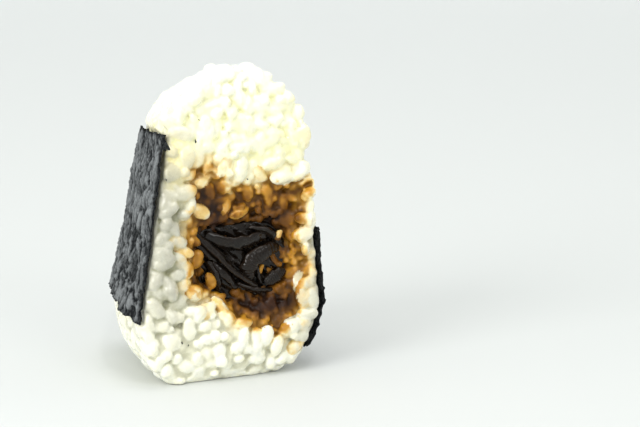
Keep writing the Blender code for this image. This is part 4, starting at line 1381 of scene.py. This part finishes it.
def add_area_light(scene, name, place, target, size, power, colour):
    light = bpy.data.lights.new(name, "AREA")
    light.shape = "DISK"
    light.size = size
    light.energy = power
    light.color = colour
    lamp = bpy.data.objects.new(name, light)
    lamp.location = place
    lamp.rotation_euler = (Vector(place) - Vector(target)).to_track_quat("Z", "Y").to_euler()
    scene.collection.objects.link(lamp)


def add_floor(scene, stage):
    """A floor that bends up into a backdrop behind, painted paler towards its far side as painted light."""
    look, shader, node = new_look("pale studio floor")
    away = reach_along(node, node("ShaderNodeTexCoord").outputs["Object"], FAR_SIDE)
    share = spread(node, away, 0.0, 1.0, 0.05, 1.1)
    colour = mixed_colour(node, share, stage.near, stage.far)
    fill_inputs(shader, {"Base Color": colour, "Roughness": 0.7, "Specular IOR Level": 0.2})
    bend = np.linspace(0, math.pi / 2, 25)
    curve = np.stack([BEND_START + BEND_RADIUS * np.sin(bend), BEND_RADIUS * (1 - np.cos(bend))], axis=-1)
    profile = np.vstack([(FLOOR_FRONT, 0.0), curve, (BEND_START + BEND_RADIUS, BACKDROP_HEIGHT)])
    x, y = np.meshgrid((-FLOOR_HALF_WIDTH, FLOOR_HALF_WIDTH), profile[:, 0])
    z = np.broadcast_to(profile[:, 1:], x.shape)
    points = np.stack([x, y, z], axis=-1).reshape(-1, 3)
    mesh = bpy.data.meshes.new("floor")
    mesh.from_pydata(points.tolist(), [], grid_faces(len(profile), 2, False).tolist())
    mesh.shade_smooth()
    mesh.materials.append(look)
    floor = bpy.data.objects.new("floor", mesh)
    scene.collection.objects.link(floor)


def add_world(scene, stage):
    """Light all round, the strongest from the bright side of the sky."""
    world = bpy.data.worlds.new("studio")
    world.use_nodes = True
    node = node_maker(world.node_tree)
    overhead = reach_along(node, node("ShaderNodeTexCoord").outputs["Generated"], BRIGHT_SKY)
    strength = spread(node, overhead, 0.3 * stage.sky, 1.15 * stage.sky, -1.0, 1.0)
    fill_inputs(world.node_tree.nodes["Background"], {"Color": (0.99, 1.0, 0.99, 1), "Strength": strength})
    scene.world = world


class ONIGIRI_OT_stage(bpy.types.Operator):
    """Make the floor, the backdrop, the lights and the camera"""

    bl_idname = "onigiri.stage"
    bl_label = "Stage"

    def execute(self, context):
        scene = context.scene
        stage = scene.onigiri_stage
        add_floor(scene, stage)
        for name, (place, size, colour) in LAMPS.items():
            add_area_light(scene, name, place, AIM, size, getattr(stage, name), colour)
        add_world(scene, stage)
        scene.view_settings.view_transform = "Standard"
        add_camera(scene)
        return {"FINISHED"}


class ONIGIRI_PT_panel(bpy.types.Panel):
    """Lists the onigiri's parts"""

    bl_idname = "ONIGIRI_PT_panel"
    bl_label = "Kombu onigiri"
    bl_space_type = "VIEW_3D"
    bl_region_type = "UI"
    bl_category = "Onigiri"

    def draw(self, context):
        for kind, settings in (
            (ONIGIRI_OT_rice, context.scene.onigiri_rice),
            (ONIGIRI_OT_kelp, context.scene.onigiri_kelp),
            (ONIGIRI_OT_nori, context.scene.onigiri_nori),
            (ONIGIRI_OT_stage, context.scene.onigiri_stage),
        ):
            box = self.layout.box()
            box.operator(kind.bl_idname)
            for key in settings.__annotations__:
                box.prop(settings, key)


CLASSES = (
    RiceSettings,
    KelpSettings,
    NoriSettings,
    StageSettings,
    ONIGIRI_OT_rice,
    ONIGIRI_OT_kelp,
    ONIGIRI_OT_nori,
    ONIGIRI_OT_stage,
    ONIGIRI_PT_panel,
)


def register():
    for kind in CLASSES:
        bpy.utils.register_class(kind)
    bpy.types.Scene.onigiri_rice = bpy.props.PointerProperty(type=RiceSettings)
    bpy.types.Scene.onigiri_kelp = bpy.props.PointerProperty(type=KelpSettings)
    bpy.types.Scene.onigiri_nori = bpy.props.PointerProperty(type=NoriSettings)
    bpy.types.Scene.onigiri_stage = bpy.props.PointerProperty(type=StageSettings)


def unregister():
    for key in ("onigiri_rice", "onigiri_kelp", "onigiri_nori", "onigiri_stage"):
        delattr(bpy.types.Scene, key)
    for kind in reversed(CLASSES):
        bpy.utils.unregister_class(kind)


def main():
    register()
    bpy.ops.onigiri.rice()
    bpy.ops.onigiri.kelp()
    bpy.ops.onigiri.nori()
    bpy.ops.onigiri.stage()


if __name__ == "__main__":
    main()
